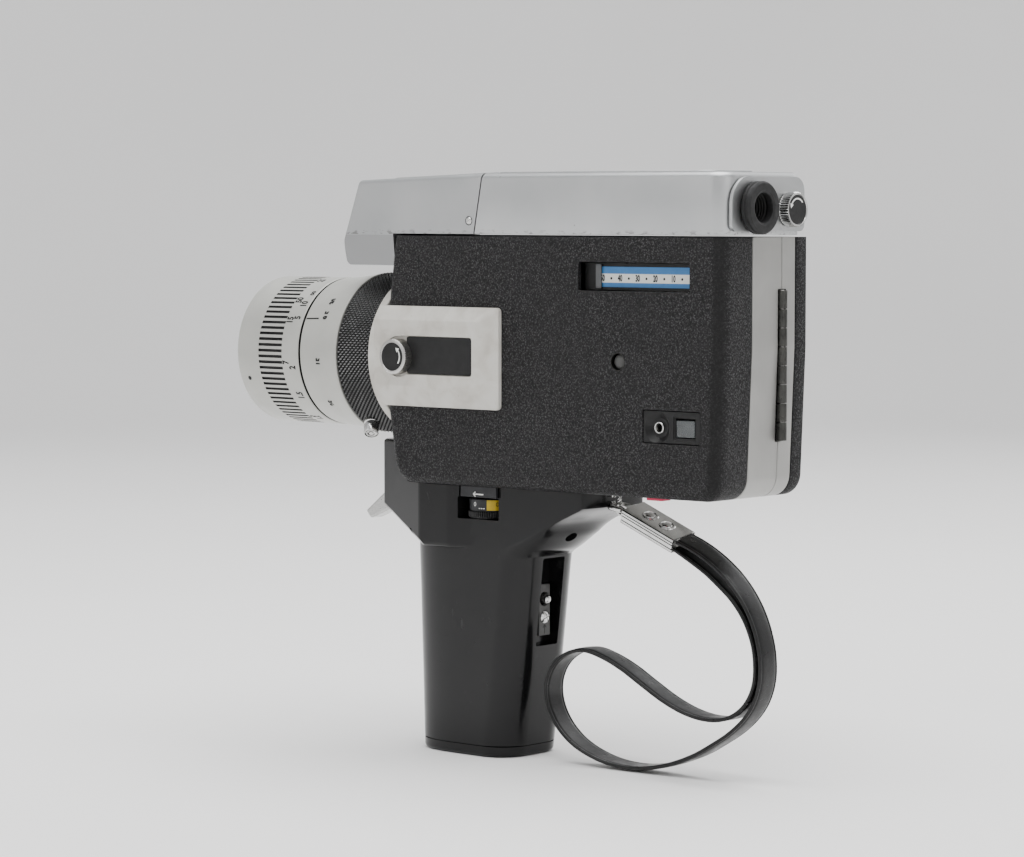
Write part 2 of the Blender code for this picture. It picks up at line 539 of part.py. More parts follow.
def oval(half_x, half_y, shift_y, z, count=36, power=2.25):
    """A slightly squared ellipse."""
    points = []
    for k in range(count):
        angle = 2 * math.pi * k / count
        c, s = math.cos(angle), math.sin(angle)
        points.append((math.copysign(abs(c) ** (2 / power), c) * half_x,
                       math.copysign(abs(s) ** (2 / power), s) * half_y + shift_y, z))
    return points


def loft(name, rings, mat=None, cutter=False):
    """A closed skin through rings of equal count, with flat ends."""
    bm = bmesh.new()
    grid = [[bm.verts.new(p) for p in ring] for ring in rings]
    for low, high in zip(grid, grid[1:]):
        for i in range(len(low)):
            j = (i + 1) % len(low)
            bm.faces.new((low[i], low[j], high[j], high[i]))
    bm.faces.new(grid[0])
    bm.faces.new(grid[-1])
    bmesh.ops.recalc_face_normals(bm, faces=bm.faces)
    obj = place(name, to_mesh(name, bm), mat, cutter=cutter)
    smooth(obj)
    return obj


def grip_section(z, shrink=0.0):
    part = z / GRIP_TOP_Z
    half_y = GRIP_FOOT_Y + (GRIP_TOP_Y - GRIP_FOOT_Y) * part
    return oval(GRIP_HALF_X - shrink, half_y - shrink, GRIP_TOP_SHIFT * part, z)


def build_grip():
    base = loft("grip_base", [grip_section(0, 0.8), grip_section(0.8), grip_section(BASE_Z)], GRIP_PLASTIC)
    cut(base, rod("tripod_socket", (0, 13, -1), (0, 13, 6), 3.2, cutter=True, segments=20))
    handle = loft("grip_handle", [grip_section(z) for z in (BASE_Z + GAP, 28, 52, GRIP_TOP_Z)], GRIP_PLASTIC)
    cut(handle, block("battery_bay", (-14.9, -15.0, 0), (14.9, 15.0, 64), cutter=True),
        block("slider_slot", (-6, 24.0, 40.5), (6, 45, 72.5), cutter=True))
    for k, (x, y) in enumerate(((-1, -1), (1, -1), (-1, 1), (1, 1)), 1):
        cell = [(0, CELL_H), (2.6, CELL_H), (2.6, CELL_H - 1.2), (CELL_R, CELL_H - 1.6), (CELL_R, 0), (0, 0)]
        turned(f"battery_{k}", cell, (x * 7.4, y * 7.4, BASE_Z + 3.2), CELL_WRAP, axis=(0, 0, 1), steps=20)

    core = [(-22.0, GRIP_TOP_Z + GAP), (36.6, GRIP_TOP_Z + GAP), (41, 77.6), (58.6, 91.6),
            (60.4, 94.6), (60.4, 98.0), (-22.0, 98.0)]
    head = prism("grip_head", core, "X", -17.2, 17.2, GRIP_PLASTIC)
    half_nose = [(19.2, -1.0), (19.2, -22.5), (8.8, -43.8), (5.5, -46.4)]
    nose_plan = half_nose + [(-x, y) for x, y in reversed(half_nose)]
    nose = prism("nose_form", nose_plan, "Z", GRIP_TOP_Z + 1.2, 98.0, cutter=True)
    half_chin = [(15.9, -29.1)] + half_nose[2:]
    chin = half_chin + [(-x, y) for x, y in reversed(half_chin)]
    riser = prism("riser_form", chin, "Z", 97.0, 112.6, cutter=True)
    join(head, nose, riser)
    under_nose = [(-60, 60), (-24.5, 60), (-24.5, GRIP_TOP_Z), (-31.5, 75.0), (-46.9, 88.5), (-60, 100)]
    chamfer = prism("chin_chamfer", under_nose, "X", -30, 30, cutter=True)
    cut(head, chamfer,
        block("dial_room", (1.2, 0.6, 84.6), (30, 20.6, 94.0), cutter=True),
        block("label_room", (17.0, 1.6, 94.0), (30, 20.6, 97.0), cutter=True),
        block("trigger_room", (-4.9, -60, 80.5), (4.9, -31.5, 105.5), cutter=True),
        rod("flare_hole", (5.0, 36, 72), (5.0, 52, 88), 2.0, cutter=True, segments=16))

    label = block("mode_label", (17.4, 2.0, 94.3), (18.5, 20.2, 96.7), BLACK_PLASTIC)
    bevel(label, 0.2, 1)
    dial = [(7.6, 93.6), (7.6, 88.2), (8.4, 87.8), (8.4, 85.0), (1.4, 85.0), (1.4, 93.6)]
    turned("mode_dial", dial, (10.2, 10.6, 0), BLACK_PLASTIC, axis=(0, 0, 1), steps=36)
    finger_side = [(-60.4, 82.9), (-57.0, 81.8), (-50.5, 83.2), (-40.0, 87.0), (-34.6, 98.0)]
    grip_side = [(-36.5, 103.2), (-40.6, 103.2), (-42.4, 98.5), (-47.0, 92.8), (-53.0, 90.6)]
    trigger = rounded(finger_side + grip_side, [0.8, 0.8, 0, 3, 2, 1.6, 1.6, 2, 2, 0], 2)
    trigger_blade = prism("trigger", trigger, "X", -4.2, 4.2, SATIN)
    bevel(trigger_blade, 0.5, 1, 50)
    rod("trigger_pin", (-4.8, -38.6, 100.0), (4.8, -38.6, 100.0), 1.0, CHROME, segments=16)
    cut(trigger_blade, rod("trigger_bore", (-9, -38.6, 100.0), (9, -38.6, 100.0), 1.25, cutter=True,
                           segments=16))
    slider = block("filter_slider", (-3.0, 25.6, 44.0), (3.0, 27.0, 62.5), BLACK_PLASTIC)
    join(slider, rod("slider_ball", (0, 26.5, 57.2), (0, 29.6, 57.2), 1.7, cutter=True, segments=16),
         rod("slider_screw", (0, 26.5, 50.6), (0, 28.2, 50.6), 2.3, cutter=True, segments=16))


# ---------------------------------------------------------------- strap

def smooth_route(points, pieces=3):
    """Catmull-Rom points through a route."""
    points = [Vector(p) for p in points]
    ends = [points[0] * 2 - points[1]] + points + [points[-1] * 2 - points[-2]]
    route = []
    for a, b, c, d in zip(ends, ends[1:], ends[2:], ends[3:]):
        for k in range(pieces):
            t = k / pieces
            route.append(0.5 * (2 * b + (c - a) * t + (2 * a - 5 * b + 4 * c - d) * t ** 2
                                + (3 * b - a - 3 * c + d) * t ** 3))
    route.append(points[-1])
    return route


def build_strap():
    route = smooth_route(STRAP_ROUTE, 1)
    rings = []
    for i, point in enumerate(route):
        along = (route[min(i + 1, len(route) - 1)] - route[max(i - 1, 0)]).normalized()
        thick = along.cross(Vector((1, 0, 0))).normalized() * STRAP_THICK / 2
        wide = Vector((STRAP_WIDTH / 2, 0, 0))
        rings.append([point + thick + wide, point + thick - wide, point - thick - wide, point - thick + wide])
    loft("strap", rings, STRAP_LEATHER)

    centre = Vector(CLIP_CENTRE)
    half_size = Vector(CLIP_SIZE) / 2
    clip = block("strap_clip", centre - half_size, centre + half_size, CHROME, spin=(CLIP_TILT, "X"))
    bevel(clip, 0.5, 2)
    loop = rounded([(-2.2, 0), (6.9, 0), (6.9, 5.6), (-2.2, 5.6)], [1.8, 1.8, 1.8, 1.8], 3)
    ring = bpy.data.curves.new("strap_lug", "CURVE")
    ring.dimensions = "3D"
    ring.bevel_depth = 0.9 * MM
    ring.bevel_resolution = 2
    spline = ring.splines.new("POLY")
    spline.points.add(len(loop) - 1)
    for point, (x, along) in zip(spline.points, loop):
        point.co = (x * MM, (61.8 + along) * MM, (93.4 - 0.28 * along) * MM, 1)
    spline.use_cyclic_u = True
    lug = bpy.data.objects.new("strap_lug", ring)
    ring.materials.append(CHROME)
    PARTS.objects.link(lug)


build_casing()
build_door()
build_housing()
build_finder()
build_left_side()
build_lens()
build_mechanism()
build_grip()
build_strap()
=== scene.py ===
import json
import math

import bmesh
import bpy
from mathutils import Matrix, Vector


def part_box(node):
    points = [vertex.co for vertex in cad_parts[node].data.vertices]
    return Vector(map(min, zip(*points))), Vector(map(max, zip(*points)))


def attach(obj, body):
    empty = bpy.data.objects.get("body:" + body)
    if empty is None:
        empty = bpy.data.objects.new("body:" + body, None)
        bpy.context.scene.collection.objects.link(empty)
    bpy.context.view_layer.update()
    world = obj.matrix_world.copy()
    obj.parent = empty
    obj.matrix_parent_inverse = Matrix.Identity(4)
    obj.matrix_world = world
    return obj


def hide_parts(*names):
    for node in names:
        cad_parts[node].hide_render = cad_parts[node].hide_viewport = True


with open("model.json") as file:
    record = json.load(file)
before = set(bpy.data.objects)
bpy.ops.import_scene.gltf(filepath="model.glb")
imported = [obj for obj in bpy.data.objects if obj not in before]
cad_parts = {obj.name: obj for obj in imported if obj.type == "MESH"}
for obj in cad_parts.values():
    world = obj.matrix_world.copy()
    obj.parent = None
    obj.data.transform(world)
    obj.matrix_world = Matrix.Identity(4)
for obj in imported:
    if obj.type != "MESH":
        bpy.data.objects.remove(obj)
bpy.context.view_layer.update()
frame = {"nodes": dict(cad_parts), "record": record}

# Shapes are worked out in millimetres, in the frame of the CAD model, and become metres in to_piece.
MM = 0.001
X, Y, Z = (1, 0, 0), (0, 1, 0), (0, 0, 1)
FORWARD = (0, -1, 0)


def span(node):
    """A CAD node's lowest and highest corners, in millimetres."""
    low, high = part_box(node)
    return low / MM, high / MM


def middle(node):
    """The middle of a CAD node, in millimetres."""
    return [(a + b) / 2 for a, b in zip(*span(node))]


def sind(degrees):
    return math.sin(math.radians(degrees))


def cosd(degrees):
    return math.cos(math.radians(degrees))


COVER_LOW, COVER_HIGH = span("left_cover")
AXIS_Z = middle("focus_ring")[2]
LENS = (0, 0, AXIS_Z)


# ------------------------------------------------------------------ materials

class Finish:
    """A Principled material built up from procedural textures in the object's own millimetres."""

    def __init__(self, name, colour, roughness, metallic=0.0, **sockets):
        self.mat = bpy.data.materials.new(name)
        self.mat.use_nodes = True
        self.nodes = self.mat.node_tree.nodes
        self.links = self.mat.node_tree.links
        self.shader = self.nodes["Principled BSDF"]
        self.shader.inputs["Base Color"].default_value = (*colour, 1.0)
        self.shader.inputs["Roughness"].default_value = roughness
        self.shader.inputs["Metallic"].default_value = metallic
        for socket, value in sockets.items():
            self.shader.inputs[socket.replace("_", " ")].default_value = value
        places = self.nodes.new("ShaderNodeTexCoord")
        self.where, self.normal = places.outputs["Object"], places.outputs["Normal"]

    def node(self, kind, inputs, output, **settings):
        """A node with its sockets linked or set; colours get their alpha here."""
        made = self.nodes.new(kind)
        for key, value in settings.items():
            setattr(made, key, value)
        for key, value in inputs.items():
            socket = made.inputs[key]
            if isinstance(value, bpy.types.NodeSocket):
                self.links.new(value, socket)
            else:
                socket.default_value = (*value, 1.0) if socket.type == "RGBA" else value
        return made.outputs[output]

    def stretched(self, *scale):
        return self.node("ShaderNodeMapping", {"Vector": self.where, "Scale": scale}, "Vector")

    def noise(self, size, detail=3.0, where=None, warp=0.0, seed=0.0):
        """Cloudy noise whose features are about `size` millimetres across."""
        inputs = {"Vector": where or self.where, "W": seed, "Scale": 1 / (size * MM), "Detail": detail,
                  "Distortion": warp}
        return self.node("ShaderNodeTexNoise", inputs, "Fac", noise_dimensions="4D")

    def cells(self, size, where=None, feature="F1"):
        inputs = {"Vector": where or self.where, "Scale": 1 / (size * MM)}
        return self.node("ShaderNodeTexVoronoi", inputs, "Distance", feature=feature)

    def ramp(self, factor, *stops):
        """Blend through (position, grey or colour) stops."""
        made = self.nodes.new("ShaderNodeValToRGB")
        self.links.new(factor, made.inputs["Fac"])
        points = made.color_ramp.elements
        while len(points) < len(stops):
            points.new(0.5)
        for point, (position, value) in zip(points, stops):
            point.position = position
            shade = (value, value, value) if isinstance(value, (int, float)) else value
            point.color = (*shade, 1.0)
        return made.outputs["Color"]

    def clouds(self, size, low, high, detail=4.0, at=(0.3, 0.7), **how):
        """Noise between two greys or colours."""
        return self.ramp(self.noise(size, detail, **how), (at[0], low), (at[1], high))

    def dots(self, size, full, none, where=None):
        """Small scattered spots: 1 inside `full`, 0 beyond `none`."""
        return self.ramp(self.cells(size, where), (full, 1.0), (none, 0.0))

    def streaks(self, size, detail, scale, seed, start, full):
        """Thin patches of stretched noise: 0 below `start`, 1 from `full` on."""
        lines = self.noise(size, detail, self.stretched(*scale), seed=seed)
        return self.ramp(lines, (start, 0.0), (full, 1.0))

    def maths(self, operation, a, b):
        return self.node("ShaderNodeMath", {0: a, 1: b}, "Value", operation=operation)

    def times(self, a, b):
        return self.maths("MULTIPLY", a, b)

    def blend(self, factor, a, b):
        """Mix two colours; sockets 0, 6 and 7 are the factor and both colours, output 2 the result."""
        return self.node("ShaderNodeMix", {0: factor, 6: a, 7: b}, 2, data_type="RGBA")

    def rising(self, low, high):
        """0 at the height `low` in millimetres, 1 at `high`."""
        height = self.node("ShaderNodeSeparateXYZ", {0: self.where}, "Z")
        inputs = {"Value": height, "From Min": low * MM, "From Max": high * MM}
        return self.node("ShaderNodeMapRange", inputs, "Result", clamp=True)

    def finish(self, colour, roughness, height=None, strength=0.0, depth=0.0):
        """Link up the shader; the relief is a bump of about `depth` millimetres."""
        self.links.new(colour, self.shader.inputs["Base Color"])
        if roughness:
            self.links.new(roughness, self.shader.inputs["Roughness"])
        if height:
            inputs = {"Height": height, "Strength": strength, "Distance": depth * MM}
            self.links.new(self.node("ShaderNodeBump", inputs, "Normal"), self.shader.inputs["Normal"])
        return self.mat


def leatherette():
    """Pebbled covering whose grain colour holds painted highlights and shade, with a light line at its front
    edge that is partly wear and partly a painted highlight, and painted shade darkening its rear corner.
    """
    f = Finish("leatherette", (0.02, 0.02, 0.021), 0.5, Specular_IOR_Level=0.22)
    wander = f.node("ShaderNodeTexNoise", {"Vector": f.where, "Scale": 1300.0}, "Color")
    half_mm = (0.0005, 0.0005, 0.0005)
    wander = f.node("ShaderNodeVectorMath", {0: wander, 1: half_mm}, "Vector", operation="MULTIPLY")
    bent = f.node("ShaderNodeVectorMath", {0: f.where, 1: wander}, "Vector", operation="ADD")
    pebbles = f.cells(0.62, bent, "SMOOTH_F1")
    creases = f.noise(0.38, 4.0, bent, 1.4)
    grain = f.maths("ADD", f.times(pebbles, -0.85), f.times(creases, 1.1))
    grain = f.maths("ADD", grain, f.times(f.noise(0.2, 2.0), 0.25))
    # the grain's colour is partly its own tone and partly painted light: painted highlights on the pebbles'
    # tops, painted shade in the crevices
    shade = f.ramp(
        grain, (0.05, (0.003, 0.003, 0.003)), (0.36, (0.0065, 0.0063, 0.0068)), (0.66, (0.075, 0.073, 0.076)))
    shade = f.blend(f.clouds(22.0, 0.0, 0.4, 2.0, (0.35, 0.7)), shade, (0.011, 0.0105, 0.011))
    facing = f.node("ShaderNodeSeparateXYZ", {0: f.normal}, "Y")
    # light band round the front edge: partly edge wear, partly a painted highlight
    front_edge_wear_and_highlight = f.ramp(f.times(facing, -1.0), (0.80, 0.0), (0.87, 1.0), (0.94, 1.0), (0.985, 0.0))
    # painted shade: the rounded rear corner is darkened where it faces away from the light
    rear_edge = f.ramp(facing, (0.12, 0.0), (0.35, 0.8), (0.80, 0.8), (0.97, 0.0))
    shade = f.blend(rear_edge, shade, (0.0035, 0.0034, 0.0035))
    shade = f.blend(front_edge_wear_and_highlight, shade, (0.24, 0.235, 0.23))
    return f.finish(shade, f.ramp(grain, (0.1, 0.68), (0.7, 0.36)), grain, 1.0, 0.24)


def satin_alloy():
    """The housing's alloy: painted shade makes it darker below the break of its sides, with a worn band just
    above it.
    """
    f = Finish("satin_alloy", (0.45, 0.46, 0.47), 0.34, 0.94)
    shade = f.clouds(28.0, (0.39, 0.40, 0.405), (0.46, 0.465, 0.468), 3.0)
    # painted shade: the leaning sides below the break are darkened
    nose = f.ramp(f.rising(188.3, 188.5), (0.0, 1.0), (1.0, 0.0))
    shade = f.blend(nose, shade, (0.25, 0.253, 0.256))
    specks = f.streaks(0.9, 3.0, (1.0, 0.4, 1.0), 3.0, 0.55, 0.62)
    band = f.ramp(f.rising(188.6, 190.8), (0.0, 0.0), (0.05, 1.0), (0.4, 0.9), (1.0, 0.0))
    wear = f.times(f.times(specks, band), 0.7)
    dark = f.maths("MAXIMUM", wear, f.times(f.dots(13.0, 0.018, 0.03), 0.5))
    brushed = f.noise(0.18, 2.0, f.stretched(1.0, 0.12, 1.0))
    return f.finish(
        f.blend(dark, shade, (0.13, 0.125, 0.12)), f.clouds(9.0, 0.33, 0.42, seed=5.0), brushed, 0.12, 0.02)


def frame_alloy():
    f = Finish("frame_alloy", (0.36, 0.355, 0.34), 0.36, 0.6)
    scratches = f.noise(0.5, 4.0, f.stretched(1.0, 1.0, 0.04))
    shade = f.clouds(18.0, (0.27, 0.268, 0.258), (0.325, 0.322, 0.31), 3.0)
    nicks = f.times(f.dots(9.0, 0.02, 0.035, f.stretched(1.0, 1.0, 0.6)), 0.6)
    shade = f.blend(nicks, shade, (0.10, 0.09, 0.08))
    return f.finish(shade, f.ramp(scratches, (0.35, 0.34), (0.7, 0.44)), scratches, 0.10, 0.02)


def barrel_paint():
    f = Finish("barrel_paint", (0.42, 0.42, 0.395), 0.36, 0.25)
    shade = f.clouds(16.0, (0.36, 0.36, 0.337), (0.42, 0.42, 0.392), 3.0)
    shade = f.blend(f.times(f.dots(8.0, 0.018, 0.028), 0.45), shade, (0.16, 0.14, 0.12))
    return f.finish(shade, f.clouds(5.0, 0.34, 0.44, seed=2.0), f.noise(0.25, 2.0), 0.06, 0.02)


def cheek_paint():
    f = Finish("cheek_paint", (0.68, 0.67, 0.63), 0.42)
    shade = f.ramp(
        f.noise(7.0, 5.0, warp=0.6),
        (0.30, (0.41, 0.385, 0.345)), (0.55, (0.50, 0.485, 0.445)), (0.8, (0.55, 0.535, 0.50)))
    specks = f.times(f.dots(5.5, 0.03, 0.05), 0.6)
    streaks = f.times(f.streaks(1.6, 4.0, (1.0, 0.12, 1.0), 4.0, 0.64, 0.72), 0.18)
    shade = f.blend(f.maths("MAXIMUM", specks, streaks), shade, (0.22, 0.17, 0.14))
    return f.finish(shade, f.clouds(3.0, 0.36, 0.52, seed=1.0), f.noise(0.6), 0.10, 0.03)


def metal(name, light, dark, rough, brushed=(1.0, 1.0, 1.0)):
    """Bright or machined metal with smudges and fine brush lines."""
    f = Finish(name, light, rough, 1.0)
    lines = f.noise(0.35, 4.0, f.stretched(*brushed), seed=2.0)
    shine = f.ramp(lines, (0.3, rough * 0.7), (0.7, rough * 1.35))
    return f.finish(f.clouds(6.0, dark, light, at=(0.3, 0.65)), shine, lines, 0.08, 0.02)


def gloss_plastic():
    f = Finish("grip_plastic", (0.005, 0.005, 0.0052), 0.17, Specular_IOR_Level=0.26)
    smudges = f.noise(11.0, 5.0, warp=0.8)
    dust = f.times(f.dots(2.6, 0.035, 0.06), 0.35)
    scuffs = f.times(f.streaks(2.2, 5.0, (1.0, 1.0, 0.3), 6.0, 0.66, 0.75), 0.10)
    shade = f.ramp(smudges, (0.3, (0.0035, 0.0035, 0.0038)), (0.7, (0.006, 0.006, 0.0062)))
    shade = f.blend(f.maths("MAXIMUM", dust, scuffs), shade, (0.12, 0.12, 0.12))
    shine = f.ramp(smudges, (0.3, 0.13), (0.75, 0.26))
    return f.finish(shade, shine, f.noise(4.5, 2.0, seed=8.0), 0.06, 0.10)


def plastic(name, dark, light, rough, grain=0.5, depth=0.05, strength=0.25, shine=0.28):
    """Moulded plastic, rubber or paint with a fine grain."""
    f = Finish(name, light, rough, Specular_IOR_Level=shine)
    gloss = f.clouds(2.0, rough * 0.85, min(1.0, rough * 1.2), 3.0, seed=2.0)
    return f.finish(f.clouds(3.5, dark, light), gloss, f.noise(grain, 3.0, seed=4.0), strength, depth)


def strap_leather():
    f = Finish("strap_leather", (0.006, 0.006, 0.0062), 0.34, Specular_IOR_Level=0.32)
    creases = f.noise(1.4, 5.0, f.stretched(0.45, 1.0, 1.0), 1.5)
    height = f.maths("ADD", creases, f.times(f.cells(0.55, feature="SMOOTH_F1"), -0.35))
    # the colour follows the relief: painted shade in the creases, a painted highlight on the raised grain
    shade = f.ramp(height, (0.15, (0.0025, 0.0025, 0.0027)), (0.55, (0.006, 0.006, 0.0062)),
                   (0.8, (0.016, 0.016, 0.016)))
    return f.finish(shade, f.clouds(4.0, 0.24, 0.46, 5.0, seed=3.0), height, 0.55, 0.12)


def clear_glass(name, tint, rough=0.03, clear=0.9):
    f = Finish(name, tint, rough, Transmission_Weight=clear, IOR=1.5, Coat_Weight=0.6, Coat_Roughness=0.03)
    shade = f.clouds(6.0, tint, tuple(min(1.0, c * 1.12) for c in tint), 3.0)
    return f.finish(shade, f.clouds(3.0, rough * 0.6, rough * 3, at=(0.3, 0.8), seed=2.0))


LEATHERETTE = leatherette()
SATIN = satin_alloy()
STRIP = frame_alloy()
BARREL = barrel_paint()
CHEEK = cheek_paint()
CHROME = metal("chrome", (0.66, 0.66, 0.65), (0.48, 0.48, 0.47), 0.17)
STEEL = metal("machined_metal", (0.52, 0.51, 0.49), (0.40, 0.39, 0.38), 0.34, (1.0, 0.1, 1.0))
DARK_STEEL = metal("dark_steel", (0.07, 0.07, 0.065), (0.04, 0.04, 0.038), 0.32, (1.0, 1.0, 0.2))
BRASS = metal("brass", (0.66, 0.50, 0.24), (0.52, 0.38, 0.17), 0.28)
TRIGGER_METAL = metal("trigger_metal", (0.50, 0.50, 0.49), (0.40, 0.40, 0.395), 0.30, (1.0, 0.2, 1.0))
GRIP = gloss_plastic()
BLACK = plastic("black_plastic", (0.004, 0.004, 0.0042), (0.008, 0.008, 0.0082), 0.42)
KNURL = plastic("black_knurl", (0.003, 0.003, 0.0032), (0.006, 0.006, 0.0063), 0.4, 0.3, shine=0.3)
# lighter grey for the knurl's peaks: a painted highlight for their glints, partly rubbed wear
KNURL_TIPS_WEAR_AND_HIGHLIGHT = plastic("black_knurl_tips_wear_and_highlight", (0.10, 0.10, 0.10), (0.20, 0.20, 0.20), 0.3, 0.3, shine=0.5)
RUBBER = plastic("rubber", (0.008, 0.008, 0.0082), (0.015, 0.015, 0.0155), 0.6, 0.4, 0.08, 0.4)
GREY = plastic("grey_plastic", (0.045, 0.045, 0.044), (0.075, 0.075, 0.073), 0.42)
DIAL_GREY = plastic("dial_grey", (0.012, 0.0125, 0.014), (0.022, 0.0225, 0.025), 0.40)
POINTER_GREY = plastic("pointer_grey", (0.075, 0.078, 0.082), (0.10, 0.103, 0.106), 0.45)
LEATHER = strap_leather()
INK = plastic("black_ink", (0.006, 0.006, 0.006), (0.012, 0.012, 0.0115), 0.55)
WHITE_INK = plastic("white_ink", (0.68, 0.68, 0.66), (0.78, 0.78, 0.76), 0.5)
BLUE_PRINT = plastic("blue_print", (0.045, 0.16, 0.37), (0.055, 0.19, 0.42), 0.45)
WHITE_PRINT = plastic("white_print", (0.66, 0.67, 0.64), (0.74, 0.74, 0.71), 0.5)
YELLOW = plastic("yellow_paint", (0.36, 0.245, 0.008), (0.46, 0.32, 0.015), 0.42)
RED = plastic("red_tab", (0.42, 0.02, 0.06), (0.52, 0.04, 0.09), 0.45)
GLASS = clear_glass("clear_glass", (0.82, 0.86, 0.88))
COATED = clear_glass("coated_glass", (0.40, 0.34, 0.58), 0.008, 1.0)
SMOKE = clear_glass("smoke_window", (0.30, 0.33, 0.34), 0.08)
WRAP = plastic("cell_wrap", (0.03, 0.05, 0.11), (0.05, 0.08, 0.16), 0.32)


# ------------------------------------------------------------------ shape helpers

def to_piece(name, bm, *materials, sharp=32):
    """A metre object from a bmesh worked in millimetres."""
    bmesh.ops.recalc_face_normals(bm, faces=bm.faces)
    bmesh.ops.scale(bm, vec=(MM, MM, MM), verts=bm.verts)
    mesh = bpy.data.meshes.new(name)
    bm.to_mesh(mesh)
    bm.free()
    for mat in materials:
        mesh.materials.append(mat)
    mesh.shade_smooth()
    mesh.set_sharp_from_angle(angle=math.radians(sharp))
    return in_scene(name, mesh)


def in_scene(name, data):
    obj = bpy.data.objects.new(name, data)
    bpy.context.scene.collection.objects.link(obj)
    return obj


def mount(obj, slot, *nodes, body="camera_body"):
    """Ride on a CAD body and stand for CAD nodes, which are hidden; `slot` is not used."""
    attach(obj, body)
    if nodes:
        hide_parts(*nodes)
    return obj


def evaluated(obj):
    graph = bpy.context.evaluated_depsgraph_get()
    graph.update()
    return bpy.data.meshes.new_from_object(obj.evaluated_get(graph))


def settle(obj):
    """Apply the modifiers."""
    mesh = evaluated(obj)
    obj.modifiers.clear()
    obj.data = mesh
    return obj


def even(obj):
    """Flat faces stay flat in shading, round ones stay round."""
    obj.modifiers.new("even_faces", "WEIGHTED_NORMAL").keep_sharp = True
    return obj


def soften(obj, width, segments=3, degrees=32, flat=True):
    """Round the edges and keep the flat faces flat in shading."""
    mod = obj.modifiers.new("soft_edges", "BEVEL")
    mod.width = width * MM
    mod.segments = segments
    mod.limit_method = "ANGLE"
    mod.angle_limit = math.radians(degrees)
    mod.use_clamp_overlap = True
    return even(obj) if flat else obj


def boolean(obj, operation, others):
    for other in others:
        mod = obj.modifiers.new(operation.lower(), "BOOLEAN")
        mod.operation = operation
        mod.object = other
        mod.solver = "EXACT"
    settle(obj)
    for other in others:
        bpy.data.objects.remove(other)
    obj.data.shade_smooth()
    obj.data.set_sharp_from_angle(angle=math.radians(32))
    return obj


def carve(obj, *cutters):
    return boolean(obj, "DIFFERENCE", cutters)


def moved(obj, matrix):
    """Place a mesh made about the origin with a millimetre matrix."""
    scale = Matrix.Diagonal((MM, MM, MM, 1))
    obj.data.transform(scale @ matrix @ scale.inverted())
    return obj


def turned_by(place, degrees, axis):
    return Matrix.Translation(place) @ Matrix.Rotation(math.radians(degrees), 4, axis)


def rounded(points, radii, steps):
    """A 2-D path whose corners become arcs; a radius of 0 keeps the corner."""
    path = []
    for i, (corner, radius) in enumerate(zip(points, radii)):
        here = Vector(corner)
        if radius == 0:
            path.append((here.x, here.y))
            continue
        before = (Vector(points[i - 1]) - here).normalized()
        after = (Vector(points[(i + 1) % len(points)]) - here).normalized()
        half = before.angle(after) / 2
        reach = radius / math.tan(half)
        centre = here + (before + after).normalized() * radius / math.sin(half)
        first = here + before * reach - centre
        last = here + after * reach - centre
        swing = first.angle_signed(last)
        for k in range(steps + 1):
            arm = Matrix.Rotation(-swing * k / steps, 2) @ first
            path.append((centre.x + arm.x, centre.y + arm.y))
    return path


def box(low, high, radii=0, steps=4):
    """A rectangle, with one radius or four for its corners."""
    corners = [(low[0], low[1]), (high[0], low[1]), (high[0], high[1]), (low[0], high[1])]
    if radii == 0:
        return corners
    return rounded(corners, radii if isinstance(radii, list) else [radii] * 4, steps)


def mirrored(half):
    """A plan's right half and its mirror image."""
    return half + [(-a, b) for a, b in reversed(half)]


def circle(wide, high, count=12):
    """Points round an ellipse, 30 degrees apart; the thirteenth closes it."""
    return [(wide * cosd(30 * k), high * sind(30 * k)) for k in range(count)]


LIFT = {X: lambda a, b, h: (h, a, b), Y: lambda a, b, h: (a, h, b), Z: lambda a, b, h: (a, b, h)}


def bridge(bm, rows, closed):
    """Quads between rows of equal length."""
    for low, high in zip(rows, rows[1:]):
        count = len(low)
        for i in range(count if closed else count - 1):
            j = (i + 1) % count
            bm.faces.new((low[i], low[j], high[j], high[i]))


def loft(name, rings, *materials, sharp=32, hoop=False):
    """A closed skin through rings of equal count, with flat ends; a hoop runs back to its first ring."""
    bm = bmesh.new()
    rows = [[bm.verts.new(p) for p in ring] for ring in rings]
    bridge(bm, rows + rows[:1] if hoop else rows, closed=True)
    if not hoop:
        bm.faces.new(rows[0])
        bm.faces.new(rows[-1])
    return to_piece(name, bm, *materials, sharp=sharp)


def prism(name, outline, axis, low, high, *materials):
    """An outline of (a, b) points pushed along an axis: (y, z) for X, (x, z) for Y, (x, y) for Z."""
    bm = bmesh.new()
    ends = [[bm.verts.new(LIFT[axis](a, b, h)) for a, b in outline] for h in (low, high)]
    bm.faces.new(ends[0])
    bm.faces.new(ends[1])
    bridge(bm, ends, closed=True)
    return to_piece(name, bm, *materials)


def around(axis):
    """Two directions square to an axis; for the lens they are +X and +Z."""
    axis = Vector(axis).normalized()
    first = Vector(X) if abs(axis.x) < 0.9 else Vector(Y)
    first = (first - axis * first.dot(axis)).normalized()
    second = Vector(Z) if abs(axis.z) < 0.9 else Vector(Y)
    second = second - axis * second.dot(axis) - first * second.dot(first)
    if second.length < 0.01:
        second = axis.cross(first)
    return first, second.normalized()


